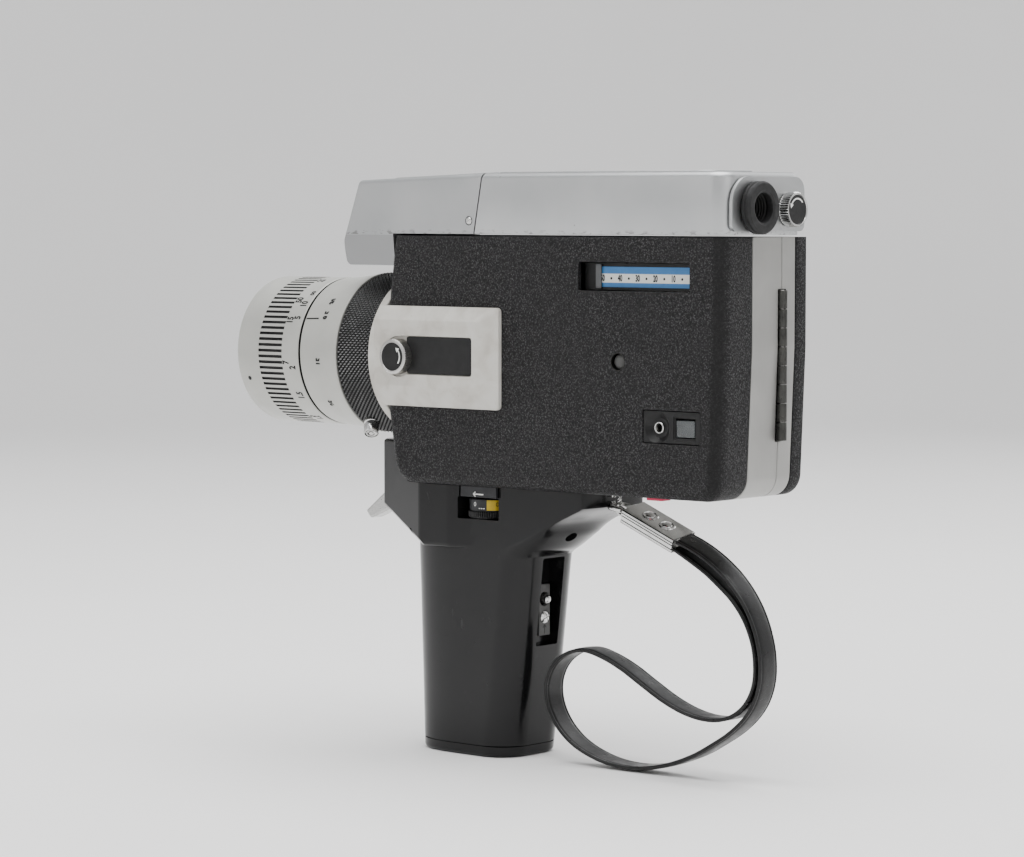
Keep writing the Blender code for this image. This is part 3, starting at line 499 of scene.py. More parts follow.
def turned(name, outline, centre, axis, *materials, steps=128, shape=None, paint=None, sharp=32):
    """Turn a closed (radius, height) outline about an axis.  `shape` may change a point's radius by its
    angle step and row; `paint` gives a face's material number in the same way."""
    centre, axis = Vector(centre), Vector(axis).normalized()
    first, second = around(axis)
    bm = bmesh.new()
    rows = []
    for row, (radius, height) in enumerate(outline):
        here = centre + axis * height
        if radius == 0:
            rows.append([bm.verts.new(here)] * steps)
            continue
        ring = []
        for k in range(steps):
            angle = 2 * math.pi * k / steps
            r = shape(k, row, radius) if shape else radius
            ring.append(bm.verts.new(here + first * (r * math.cos(angle)) + second * (r * math.sin(angle))))
        rows.append(ring)
    pairs = list(zip(range(len(rows)), range(1, len(rows))))
    if outline[0][0] > 0:
        pairs.append((len(rows) - 1, 0))
    for a, b in pairs:
        for k in range(steps):
            n = (k + 1) % steps
            corners = [rows[a][k], rows[a][n], rows[b][n], rows[b][k]]
            corners = [v for i, v in enumerate(corners) if v is not corners[i - 1]]
            if len(corners) < 3:
                continue
            face = bm.faces.new(corners)
            if paint:
                face.material_index = paint(k, a)
    return to_piece(name, bm, *materials, sharp=sharp)


def rod(name, start, end, radius, *materials, steps=48, radius_end=None):
    """A cylinder or cone between two points."""
    start, end = Vector(start), Vector(end)
    length = (end - start).length
    outline = [(0, 0), (radius, 0), (radius if radius_end is None else radius_end, length), (0, length)]
    return turned(name, outline, start, end - start, *materials, steps=steps)


def tube(name, path, radius, mat, closed=False):
    """A round wire along a path of millimetre points."""
    path = [Vector(p) for p in path]
    count, steps = len(path), 16
    rings = []
    for i, point in enumerate(path):
        before = path[(i - 1) % count] if closed or i else point
        after = path[(i + 1) % count] if closed or i < count - 1 else point
        along = (after - before).normalized()
        side = along.cross(Vector(Z))
        if side.length < 0.2:
            side = along.cross(Vector(X))
        side.normalize()
        up = side.cross(along)
        rings.append([point + side * (radius * math.cos(a)) + up * (radius * math.sin(a))
                      for a in [2 * math.pi * k / steps for k in range(steps)]])
    return loft(name, rings, mat, sharp=50, hoop=closed)


def serrated(name, outline, centre, axis, teeth, zone, depth, mat, grooves=None):
    """A turned knob whose rows from zone[0] to zone[1] of the outline carry straight cut teeth; `grooves` is
    a dark material put at the foot of each tooth as painted shade."""
    tooth = 6

    def shape(k, row, radius):
        if zone[0] <= row <= zone[1]:
            return radius - depth * (0.5 - 0.5 * math.cos(2 * math.pi * k / tooth)) ** 0.7
        return radius

    def shaded_roots(k, row):
        return int(grooves is not None and zone[0] <= row < zone[1] and k % tooth in (2, 3))

    return turned(name, outline, centre, axis, mat, grooves or mat, steps=teeth * tooth, shape=shape,
                  paint=shaded_roots, sharp=50)


def join_pieces(name, objects):
    """Several objects as one mesh, each keeping its material."""
    bm = bmesh.new()
    mats = []
    for obj in objects:
        mat = obj.data.materials[0]
        if mat not in mats:
            mats.append(mat)
        before = len(bm.faces)
        bm.from_mesh(obj.data)
        bm.faces.ensure_lookup_table()
        for face in bm.faces[before:]:
            face.material_index = mats.index(mat)
    bmesh.ops.scale(bm, vec=(1 / MM, 1 / MM, 1 / MM), verts=bm.verts)
    for obj in objects:
        bpy.data.objects.remove(obj)
    return to_piece(name, bm, *mats)


INK_DEPTH = 0.03


def ink(bm, mat, spot):
    """Push a flat bmesh out by the ink's thickness; `spot` maps (right, up, out) to a point."""
    bmesh.ops.remove_doubles(bm, verts=bm.verts, dist=0.0005)
    bmesh.ops.dissolve_limit(bm, angle_limit=0.02, verts=bm.verts, edges=bm.edges)
    grown = bmesh.ops.extrude_face_region(bm, geom=list(bm.faces), use_keep_orig=True)["geom"]
    raised = {g for g in grown if isinstance(g, bmesh.types.BMVert)}
    for vert in bm.verts:
        vert.co = spot(vert.co.x, vert.co.y, INK_DEPTH if vert in raised else 0.0)
    return to_piece("ink", bm, mat)


def figure(text, size, mat, spot, narrow):
    """A figure or sign in ink."""
    curve = bpy.data.curves.new("figure", "FONT")
    curve.body = text
    curve.size = 1.0
    curve.align_x = "CENTER"
    curve.align_y = "CENTER"
    curve.resolution_u = 3
    curve.offset = 0.045
    letters = in_scene("figure", curve)
    bm = bmesh.new()
    bm.from_mesh(evaluated(letters))
    bpy.data.objects.remove(letters)
    return ink(bm, mat, lambda u, v, w: spot(u * size * narrow, v * size, w))


def strokes(lines, width, mat, spot):
    """Straight or bent strokes of ink, each a list of (right, up) points."""
    made = []
    for line in lines:
        bm = bmesh.new()
        points = [Vector(p) for p in line]
        rows = []
        for i, point in enumerate(points):
            along = (points[min(i + 1, len(points) - 1)] - points[max(i - 1, 0)]).normalized()
            side = Vector((-along.y, along.x)) * width / 2
            rows.append([bm.verts.new((*(point + side), 0)), bm.verts.new((*(point - side), 0))])
        bridge(bm, rows, closed=False)
        made.append(ink(bm, mat, spot))
    return made


def filled(outline, mat, spot):
    bm = bmesh.new()
    bm.faces.new([bm.verts.new((p[0], p[1], 0)) for p in outline])
    return ink(bm, mat, spot)


def on_round(radius, y, degrees):
    """A place on the lens barrel: figures read upward on the left side, their tops to the front."""
    def spot(u, v, w):
        angle = math.radians(degrees) + u / radius
        r = radius + w
        return Vector((r * math.cos(angle), y - v, AXIS_Z + r * math.sin(angle)))
    return spot


def on_plane(centre, right):
    """A place on an upright face."""
    centre, right, up = Vector(centre), Vector(right), Vector(Z)
    out = right.cross(up)
    return lambda u, v, w: centre + right * u + up * v + out * w


def curved_arrow(radius, start, end, face):
    """An arc of white ink from one angle to another with a head on its end, lifted a hair off the face."""
    lift, head = 0.03, 1.5
    line = [(radius * cosd(a), radius * sind(a)) for a in [start + (end - start) * k / 16 for k in range(17)]]
    tip_angle = math.radians(end) + (1 if end > start else -1) * head / radius
    tip = Vector((radius * math.cos(tip_angle), radius * math.sin(tip_angle)))
    along = (tip - Vector(line[-1])).normalized()
    side = Vector((-along.y, along.x)) * head * 0.62
    back = tip - along * head
    spot = lambda u, v, w: face(u, v, w + lift)
    return strokes([line], 0.5, WHITE_INK, spot) + [filled([tip, back + side, back - side], WHITE_INK, spot)]


# ------------------------------------------------------------------ camera, floor and light

def aimed(obj, place, direction):
    obj.location = place
    obj.rotation_euler = direction.to_track_quat("-Z", "Y").to_euler()
    return obj


def build_studio():
    view = bpy.data.cameras.new("photo_view")
    view.lens = 120.2
    view.sensor_width = 36.0
    turn, dip = 40.727, 3.679
    look = Vector((-cosd(turn) * cosd(dip), -sind(turn) * cosd(dip), -sind(dip)))
    bpy.context.scene.camera = aimed(in_scene("photo_view", view), (0.9390, 0.8199, 0.1979), look)

    # a pale sweep all round: a round floor that curves up into a low wall
    reach, bend, wall = 2600.0, 700.0, 1500.0
    section = [(300.0, 0.0), (900.0, 0.0)]
    section += [(reach - bend * (1 - sind(a)), bend * (1 - cosd(a)))
                for a in [90 * k / 12 for k in range(13)]]
    section.append((reach, wall))
    bm = bmesh.new()
    rows = [[bm.verts.new((radius * math.cos(a), radius * math.sin(a), height))
             for a in [2 * math.pi * k / 96 for k in range(96)]] for radius, height in section]
    bm.faces.new(rows[0])
    bridge(bm, rows, closed=True)
    paper = Finish("paper", (0.84, 0.835, 0.83), 0.7)
    paper.finish(paper.clouds(420.0, (0.83, 0.824, 0.818), (0.86, 0.854, 0.848), 2.0), None)
    to_piece("studio_sweep", bm, paper.mat)

    world = bpy.data.worlds.new("studio")
    world.use_nodes = True
    back = world.node_tree.nodes["Background"]
    back.inputs["Color"].default_value = (0.93, 0.94, 0.96, 1.0)
    back.inputs["Strength"].default_value = 0.68
    bpy.context.scene.world = world

    aim = Vector((0, 0.02, 0.11))
    for name, place, size, power in (
            ("overhead", (0.0, 0.05, 1.5), (1.7, 1.7), 49.0),
            ("left_fill", (1.25, -0.55, 0.75), (0.9, 1.2), 2.4),
            ("rear_fill", (0.25, 1.45, 0.65), (0.9, 0.9), 3.0),
            ("right_fill", (-1.3, 0.2, 0.8), (1.0, 1.0), 5.0)):
        lamp = bpy.data.lights.new(name, "AREA")
        lamp.shape = "RECTANGLE"
        lamp.size, lamp.size_y = size
        lamp.energy = power
        aimed(in_scene(name, lamp), place, aim - Vector(place))


# ------------------------------------------------------------------ wrist strap

STRAP_WIDTH, STRAP_THICK = 10.0, 1.3
# the strap's centre line, in metres: over the top from the clip, round the floor, back into the clip
STRAP_ROUTE = [
    (0.00235, 0.0928, 0.0832), (0.00235, 0.0982, 0.0812), (0.00235, 0.1037, 0.0786),
    (0.00235, 0.1093, 0.0752), (0.00235, 0.1147, 0.0710), (0.00235, 0.1196, 0.0658),
    (0.00235, 0.1238, 0.0596), (0.00235, 0.1269, 0.0524), (0.00235, 0.1286, 0.0446),
    (0.00235, 0.1285, 0.0366), (0.00235, 0.1262, 0.0294), (0.00235, 0.1220, 0.0234),
    (0.00235, 0.1162, 0.0182), (0.0024, 0.1092, 0.0136), (0.0025, 0.0995, 0.0082),
    (0.0027, 0.0880, 0.0039), (0.0030, 0.0765, 0.0016), (0.0034, 0.0655, 0.0017),
    (0.0039, 0.0555, 0.0039), (0.0044, 0.0466, 0.0080), (0.0048, 0.0400, 0.0140),
    (0.0050, 0.0362, 0.0212), (0.0050, 0.0358, 0.0286), (0.0049, 0.0390, 0.0353),
    (0.0046, 0.0450, 0.0398), (0.0042, 0.0524, 0.0414), (0.0037, 0.0605, 0.0396),
    (0.0032, 0.0690, 0.0360), (0.0028, 0.0776, 0.0312), (0.0025, 0.0863, 0.0266),
    (0.0024, 0.0950, 0.0233), (0.00235, 0.1035, 0.0217), (0.00235, 0.1113, 0.0220),
    (0.00235, 0.1180, 0.0246), (0.00235, 0.1230, 0.0292), (0.00235, 0.1260, 0.0356),
    (0.00235, 0.1265, 0.0432), (0.00235, 0.1251, 0.0506), (0.00235, 0.1217, 0.0580),
    (0.00235, 0.1169, 0.0640), (0.00235, 0.1112, 0.0688), (0.00235, 0.1053, 0.0731),
    (0.00235, 0.0987, 0.0769), (0.00235, 0.0917, 0.0806),
]
CLIP_TILT, CLIP_ROLL = -22.4, 12.0


def smooth_route(points, pieces):
    """Catmull-Rom points through a route."""
    points = [Vector(p) for p in points]
    ends = [points[0] * 2 - points[1]] + points + [points[-1] * 2 - points[-2]]
    route = []
    for a, b, c, d in zip(ends, ends[1:], ends[2:], ends[3:]):
        for k in range(pieces):
            t = k / pieces
            route.append(0.5 * (2 * b + (c - a) * t + (2 * a - 5 * b + 4 * c - d) * t ** 2
                                + (3 * b - a - 3 * c + d) * t ** 3))
    route.append(points[-1])
    return route


def heading(path, i):
    """The direction of a path at one of its points."""
    return (path[min(i + 1, len(path) - 1)] - path[max(i - 1, 0)]).normalized()


def build_strap():
    route = smooth_route(STRAP_ROUTE, 5)
    half, thick = STRAP_WIDTH / 2, STRAP_THICK / 2
    # the outer face has a bead at each edge, a stitch groove and a padded middle
    outer = [
        (half, 0.10), (half - 0.12, 0.42), (half - 0.45, thick), (half - 0.80, thick - 0.02),
        (half - 1.00, thick - 0.20), (half - 1.20, thick - 0.20), (half - 1.42, thick + 0.02),
        (half - 2.2, thick + 0.14), (half - 3.4, thick + 0.20)]
    outer = mirrored(outer)
    ring = outer + [(-a, -min(b, thick)) for a, b in outer]
    rings = []
    clipped = 0.045
    sideways = Vector(X)
    for i, point in enumerate(route):
        near = min((point - route[0]).length, (point - route[-1]).length)
        roll = math.radians(CLIP_ROLL) * max(0.0, 1 - near / clipped) * (1 if i < len(route) / 2 else -1)
        out = heading(route, i).cross(-sideways).normalized()
        across = sideways * math.cos(roll) - out * math.sin(roll)
        out = out * math.cos(roll) + sideways * math.sin(roll)
        rings.append([point / MM + across * a + out * b for a, b in ring])
    return mount(loft("wrist_strap", rings, LEATHER, sharp=60), "strap_leather", "strap"), route


def build_clip():
    """The chrome clip with its rivets, and dark ink strips along the folds of its sheet as painted shade."""
    half_w, half_l, half_t = 6.0, 12.2, 2.7
    in_frame = turned_by(middle("strap_clip"), CLIP_TILT, "X") @ turned_by((0, 0, 0), CLIP_ROLL, "Y")
    outline = box((-half_w, -half_t), (half_w, half_t), 0.9, 6)
    shell = prism("strap_clip_shell", outline, Y, -half_l, half_l, CHROME)
    outline = box((-half_w + 0.4, -half_t + 0.25), (half_w - 0.4, half_t - 0.25))
    mouth = prism("mouth", outline, Y, half_l - 3.0, half_l + 1)
    folds = (-1.1, 0.5, 1.5)
    ridges = [prism("ridge", box((half_w - 0.7, z - 0.2), (half_w + 1, z + 0.2)), Y, -half_l - 1, half_l + 1)
              for z in folds]
    carve(shell, mouth, *ridges)
    moved(soften(shell, 0.12, 2, 40), in_frame)
    lines = []
    # dark ink strips in the fold grooves: painted shade
    for z in folds:
        outline = box((half_w - 0.65, z - 0.19), (half_w - 0.35, z + 0.19))
        lines.append(prism("line", outline, Y, -half_l + 0.1, half_l - 0.1, INK))
    lines = mount(moved(join_pieces("strap_clip_fold_shade", lines), in_frame), "black_plastic")
    mount(shell, "chrome", "strap_clip")

    dome = [
        (0, 0.95), (0.7, 0.88), (1.3, 0.66), (1.7, 0.3), (1.85, 0.02), (2.15, 0.02), (2.4, 0.42),
        (2.75, 0.42), (3.05, 0.05), (3.05, -0.2), (0, -0.2)]
    rivets = [turned("rivet", dome, (0, along, half_t), Z, CHROME, steps=40) for along in (-4.0, 4.0)]
    rivets = mount(moved(join_pieces("strap_rivets", rivets), in_frame), "chrome")
    return shell, rivets, lines


def build_lug():
    """The slanted wire ring, the red tab beside it, and the eye and tongue that hold the clip."""
    low, high = span("strap_lug")
    wire = 1.15
    foot, head = low.y + wire, high.y - wire
    slope = (high.z - low.z - 2 * wire) / (high.y - low.y - 2 * wire)
    loop = box((low.x + wire, foot), (high.x - wire, head), 1.8, 8)
    path = [(x, y, high.z - wire - slope * (y - low.y - wire)) for x, y in loop]
    mount(tube("strap_lug_ring", path, wire, CHROME, closed=True), "chrome", "strap_lug")
    mount(prism("red_tab", box((14.0, 89.0), (19.5, 96.0), 0.8), Z, 97.7, 98.5, RED), "grey_plastic")

    centre = (low.x + high.x) / 2
    path = [(centre, foot + 1.6 * sind(a), 95.4 + 2.6 * cosd(a)) for a in range(-70, 251, 20)]
    mount(tube("strap_eye", path, 0.9, CHROME), "chrome")
    path = [
        (70.6, 91.0), (69.2, 92.7), (67.6, 93.4), (65.9, 93.1), (65.0, 91.7), (65.9, 90.4), (67.6, 90.0),
        (69.6, 90.4)]
    path = smooth_route([(centre, y, z) for y, z in path], 4)
    rings = []
    for i, point in enumerate(path):
        square = heading(path, i).cross(Vector(X))
        rings.append([point + Vector((side, square.y * depth, square.z * depth))
                      for side, depth in ((3.2, 0.3), (-3.2, 0.3), (-3.2, -0.3), (3.2, -0.3))])
    mount(loft("strap_tongue", rings, CHROME), "chrome")


# ------------------------------------------------------------------ body casing

BODY_TOP, BODY_FOOT = COVER_HIGH.z, COVER_LOW.z
EDGE_SOFT, COVER_REAR_EDGE, DOOR_REAR_EDGE = 3.0, 5.5, 1.4
HINGE_X, HINGE_Y, HINGE_R = -9.4, COVER_HIGH.y, 1.9


def body_profile():
    """The body's side view as (y, z), from the top of the front down and round to the top of the rear."""
    points = [
        (-24.6, BODY_TOP), (-27.7, 165), (COVER_LOW.y, 126), (-23.8, BODY_FOOT), (123.2, BODY_FOOT),
        (COVER_HIGH.y, 150), (COVER_HIGH.y, BODY_TOP)]
    return rounded(points, [0, 60, 60, 9, 8, 60, 0], 12)


def inset(path, depth):
    """Shift each point of an open path to its left by its own depth."""
    shifted = []
    for i, point in enumerate(path):
        ends = path[max(i - 1, 0)], path[min(i + 1, len(path) - 1)]
        along = (Vector(ends[1]) - Vector(ends[0])).normalized()
        shifted.append(Vector(point) + Vector((-along.y, along.x)) * depth[i])
    return [(p.x, p.y) for p in shifted]


def closed_inset(path, depth):
    """Shift a closed path inwards, square to its neighbours."""
    count = len(path)
    shifted = []
    for i, point in enumerate(path):
        here = Vector(point)
        before = (here - Vector(path[i - 1])).normalized()
        after = (Vector(path[(i + 1) % count]) - here).normalized()
        mitre = (Vector((-before.y, before.x)) + Vector((-after.y, after.x))).normalized()
        reach = depth / max(0.3, mitre.dot(Vector((-after.y, after.x))))
        shifted.append(here + mitre * reach)
    return [(p.x, p.y) for p in shifted]


def cover_skin(name, side, seam, rear_edge):
    """A tray with rounded edges and a wall: side face, rim round front, foot and rear, and a flat top."""
    path = body_profile()
    soft = [EDGE_SOFT if y < 100 else rear_edge for y, z in path]
    sign = 1 if side > 0 else -1
    lip = 0.35
    rows = [[(seam, y, z) for y, z in inset(path, [lip] * len(path))],
            [(seam + sign * lip, y, z) for y, z in path]]
    for k in range(13):
        bend = 90 * k / 12
        shifted = inset(path, [r * (1 - cosd(bend)) for r in soft])
        rows.append([(side - sign * r * (1 - sind(bend)), y, z) for r, (y, z) in zip(soft, shifted)])
    for row in rows:
        for end in (0, -1):
            row[end] = (row[end][0], row[end][1], BODY_TOP)
    bm = bmesh.new()
    grid = [[bm.verts.new(p) for p in row] for row in rows]
    bridge(bm, grid, closed=False)
    bm.faces.new(grid[-1])
    bm.faces.new([row[0] for row in grid] + [row[-1] for row in reversed(grid)])
    obj = to_piece(name, bm, LEATHERETTE, sharp=50)
    outward = sum(p.normal.x * p.area for p in obj.data.polygons) * sign > 0
    wall = obj.modifiers.new("wall", "SOLIDIFY")
    wall.thickness = 1.6 * MM
    wall.offset = -1 if outward else 1
    wall.use_even_offset = True
    return settle(obj)


def frame_band(name, node, way, body, *cutters):
    """The body's outline as a closed band with softened rims; `way` is its side of the hinge."""
    low, high = (corner.x for corner in span(node))
    soft, wall = 0.25, 3.0
    levels = ((low, wall), (low, soft), (low + soft, 0), (high - soft, 0), (high, soft), (high, wall))
    rings = [[(x, y, z) for y, z in closed_inset(body_profile(), depth)] for x, depth in levels]
    band = loft(name, rings, STRIP, sharp=40, hoop=True)
    pin_low, pin_high = (corner.z for corner in span("hinge_pin"))
    foot, head = pin_low - 0.4, pin_high + 0.4
    near, far = sorted((HINGE_X - way * 0.3, HINGE_X + way * 1.4))
    carve(band, *cutters,
          rod("hinge_room", (HINGE_X, HINGE_Y, foot), (HINGE_X, HINGE_Y, head), HINGE_R + 0.4),
          prism("leaf_pocket", box((near, 114.6), (far, HINGE_Y + 1)), Z, foot, head))
    mount(band, "frame_alloy", node, body=body)


def neck_hole():
    return rod("neck_hole", (0, -35, AXIS_Z), (0, -18, AXIS_Z), 9.0)


def build_casing():
    cap_y, cap_z = middle("cell_cap")[1:]
    left = cover_skin("left_cover_leather", COVER_HIGH.x, COVER_LOW.x, COVER_REAR_EDGE)
    carve(left, neck_hole(),
          prism("counter_hole", box((62.7, 169.6), (111.5, 179.5), 0.7), X, 20, 30),
          rod("check_hole", (20, 80.4, 145.3), (30, 80.4, 145.3), 3.1),
          prism("socket_hole", box((91.3, 117.8), (116.4, 129.3), 0.5), X, 20, 30),
          rod("cell_hole", (20, cap_y, cap_z), (30, cap_y, cap_z), 6.3))
    mount(left, "leatherette", "left_cover")
    frame_band("centre_frame", "chassis", 1, "camera_body", neck_hole())
    frame_band("door_frame", "film_door_frame", -1, "film_door")
    low, high = span("film_door_cover")
    door = cover_skin("door_cover_leather", low.x, high.x, DOOR_REAR_EDGE)
    mount(door, "leatherette", "film_door_cover", body="film_door")

    low, high = span("door_latch")
    latch = prism("door_latch_key", box(low.yz, high.yz, 2.2, 8), X, low.x, high.x, SATIN)
    grooves = [prism("groove", box((low.y - 1, z - 0.3), (high.y + 1, z + 0.3)), X, low.x - 1, low.x + 0.5)
               for z in [low.z + 2.6 + 1.3 * k for k in range(7)]]
    mount(soften(carve(latch, *grooves), 0.25), "satin_alloy", "door_latch", body="latch")
    build_hinge()


def build_hinge():
    """A piano hinge: knuckles in turn on the body's leaf and the door's."""
    x, y = HINGE_X, HINGE_Y
    low, high = (corner.z for corner in span("hinge_pin"))
    knuckles, gap = 8, 0.12
    length = (high - low) / knuckles
    for sign, body, node, first in (
            (1, "camera_body", "hinge_leaf_body", 0), (-1, "film_door", "hinge_leaf_door", 1)):
        near, far = sorted((x + sign * 0.3, x + sign * 1.1))
        parts = [prism("leaf", box((near, 115), (far, y - 1.2)), Z, low, high, DARK_STEEL)]
        for k in range(first, knuckles, 2):
            bottom, top = low + k * length + gap, low + (k + 1) * length - gap
            outline = [
                (HINGE_R - gap, top), (HINGE_R, top - gap), (HINGE_R, bottom + gap),
                (HINGE_R - gap, bottom), (0.95, bottom), (0.95, top)]
            parts.append(turned("knuckle", outline, (x, y, 0), Z, DARK_STEEL, steps=36))
        mount(join_pieces(node + "_rolled", parts), "machined_metal", node, body=body)
    pin = rod("hinge_pin_steel", (x, y, low), (x, y, high), 0.75, STEEL)
    mount(soften(pin, 0.15, 2), "chrome", "hinge_pin")


# ------------------------------------------------------------------ top housing and finder

SEAM_FOOT, SEAM_HEAD = 13.9, 17.9
EYE_X, EYE_Z = middle("eyecup")[::2]
KNOB_X, KNOB_Z = middle("eyepiece_shutter_knob")[::2]


def finder_holes():
    """Cutters for the eyepiece and for the shaft of its shutter knob."""
    return (rod("eye_hole", (EYE_X, 115, EYE_Z), (EYE_X, 140, EYE_Z), 8.0),
            rod("knob_hole", (KNOB_X, 115, KNOB_Z), (KNOB_X, 140, KNOB_Z), 2.0))


def build_housing():
    rear_low, rear_high = span("housing_rear")
    tip, nose_floor = span("housing_front")[0].yz
    side, top, floor, back = rear_high.x, rear_high.z, rear_low.z, rear_high.y
    skin = 1.5

    def plan(shrink, start):
        corners = box((-side + shrink, start), (side - shrink, back - shrink))
        return rounded(corners[1:] + corners[:1], [0, 6.5 - shrink, 9.0 - shrink, 0], 12)

    soft = 2.3
    levels = [(0.35, floor), (0.1, floor + 0.1), (0, floor + 0.35)]
    levels += [(soft * (1 - cosd(a)), top - soft * (1 - sind(a))) for a in range(0, 91, 10)]
    levels += [(soft + 1.5, top + 0.02)]
    rear = loft("housing_rear_shell", [[(x, y, z) for x, y in plan(i, 0)] for i, z in levels], SATIN)
    foot, head = SEAM_FOOT + 0.55, SEAM_HEAD + 0.55
    slant = [
        (-10, floor - 10), (foot, floor - 10), (foot, floor), (head, top), (head, top + 10),
        (-10, top + 10)]
    carve(rear, prism("hollow", plan(skin + 0.6, -2), Z, floor - 5, top - skin),
          prism("slant", slant, X, -40, 40), *finder_holes())
    mount(rear, "satin_alloy", "housing_rear")

    throat, brow = -26.4, (-42.5, 208.3)
    outline = [(SEAM_HEAD + 8, top + 0.28), brow, (tip, 186.7), (tip, nose_floor), (throat + 4, nose_floor),
               (throat + 4, floor - 4), (SEAM_HEAD + 8, floor - 4)]
    loop = rounded(outline, [0, 2.2, 3.0, 2.0, 0, 0, 0], 20)
    front = loft("housing_front_shell", [[(x, y, z) for y, z in closed_inset(loop, shrink)]
                                         for x, shrink in housing_sections(side)], SATIN)
    seam_cut = [
        (60, floor - 20), (SEAM_FOOT, floor - 20), (SEAM_FOOT, floor), (SEAM_HEAD, top),
        (SEAM_HEAD, top + 10), (60, top + 10)]
    throat_cut = [(throat, 150), (throat, nose_floor), (throat + 1.5, floor), (60, floor), (60, 150)]
    carve(front, prism("seam", seam_cut, X, -40, 40), prism("throat", throat_cut, X, -40, 40))
    # below the break the sides lean inwards
    break_z, lean = 188.4, 0.25
    for way in (1, -1):
        wedge = [(way * x, z) for x, z in ((side, break_z), (side + 6, break_z), (side + 6, nose_floor - 4),
                                          (side - lean * (break_z - nose_floor + 4), nose_floor - 4))]
        carve(front, prism("lean", wedge, Y, -70, 60))
    inner = [
        (30, top - skin), (-41.4, brow[1] - skin), (tip + skin, 186.4), (tip + skin, nose_floor + skin),
        (throat - skin, nose_floor + skin), (throat - skin, floor - 1.2), (-27, floor - 3), (30, floor - 3)]
    carve(front, prism("inner", inner, X, -side + 4.4, side - 4.4),
          prism("meter_hole", box((-20, 179.6), (20, 186.0), 1.0, 5), Y, -60, -47))
    front.data.set_sharp_from_angle(angle=math.radians(8))
    mount(front, "satin_alloy", "housing_front")

    for name, near, far, corners in (("top_plate_front", -35.0, SEAM_HEAD - 0.5, [3.0, 3.0, 0.4, 0.4]),
                                     ("top_plate_rear", SEAM_HEAD + 0.2, 112.0, [0.4, 0.4, 5.0, 5.0])):
        outline = box((-13.5, near), (13.5, far), corners, 8)
        rings = [[(x, y, roof_height(y, top) + z) for x, y in closed_inset(outline, shrink)]
                 for shrink, z in ((0, -0.05), (0, 0.45), (0.2, 0.6))]
        mount(loft(name, rings, SATIN), "satin_alloy")

    build_meter_window()
    y, z = middle("housing_screw")[1:]
    place = (side, y, z)
    head = [(0, 0.45), (0.6, 0.42), (1.05, 0.3), (1.25, 0.05), (1.25, -0.6), (0, -0.6)]
    screw = turned("housing_screw_head", head, place, X, CHROME, steps=40)
    slot_cut = moved(prism("slot", box((-2.5, -0.2), (2.5, 0.2)), X, 0.05, 2), turned_by(place, 35, "X"))
    mount(carve(screw, slot_cut), "chrome", "housing_screw")
    # a dark ring round the head: painted shade for the recess the screw sits in
    well = [(1.65, 0.06), (1.65, -0.6), (1.3, -0.6), (1.3, -0.02), (1.5, 0.06)]
    mount(turned("housing_screw_well_shade", well, place, X, DARK_STEEL, steps=40), "machined_metal")


def roof_height(y, top):
    """The front half of the housing's roof falls a little towards the nose."""
    return top if y > SEAM_HEAD else top - 2.1 * (SEAM_HEAD - y) / 60.4


def housing_sections(side):
    """(x, inset of the outline) from one side of the front housing to the other, with round edges."""
    soft = 1.8
    half = [(side - soft * (1 - sind(a)), soft * (1 - cosd(a))) for a in range(0, 91, 6)]
    return [(-x, shrink) for x, shrink in reversed(half)] + half


def build_meter_window():
    low, high = span("meter_bezel")
    bezel = prism("meter_bezel_ring", box(low.xz, high.xz, 1.0, 5), Y, low.y, high.y, BLACK)
    carve(bezel, prism("hole", box((-18.2, 181.0), (18.2, 184.6), 0.6, 5), Y, -60, -40))
    mount(soften(bezel, 0.2, 2), "black_plastic", "meter_bezel")
    low, high = span("meter_window")
    ribs = 24
    step = (high.x - low.x) / ribs
    outline = [(low.x, high.y)]
    for k in range(ribs):
        outline += [(low.x + step * (k + 0.5), low.y), (low.x + step * (k + 1), low.y + 0.35)]
    outline.append((high.x, high.y))
    mount(prism("meter_window_ribbed", outline, Z, low.z, high.z, GLASS), "glass", "meter_window")


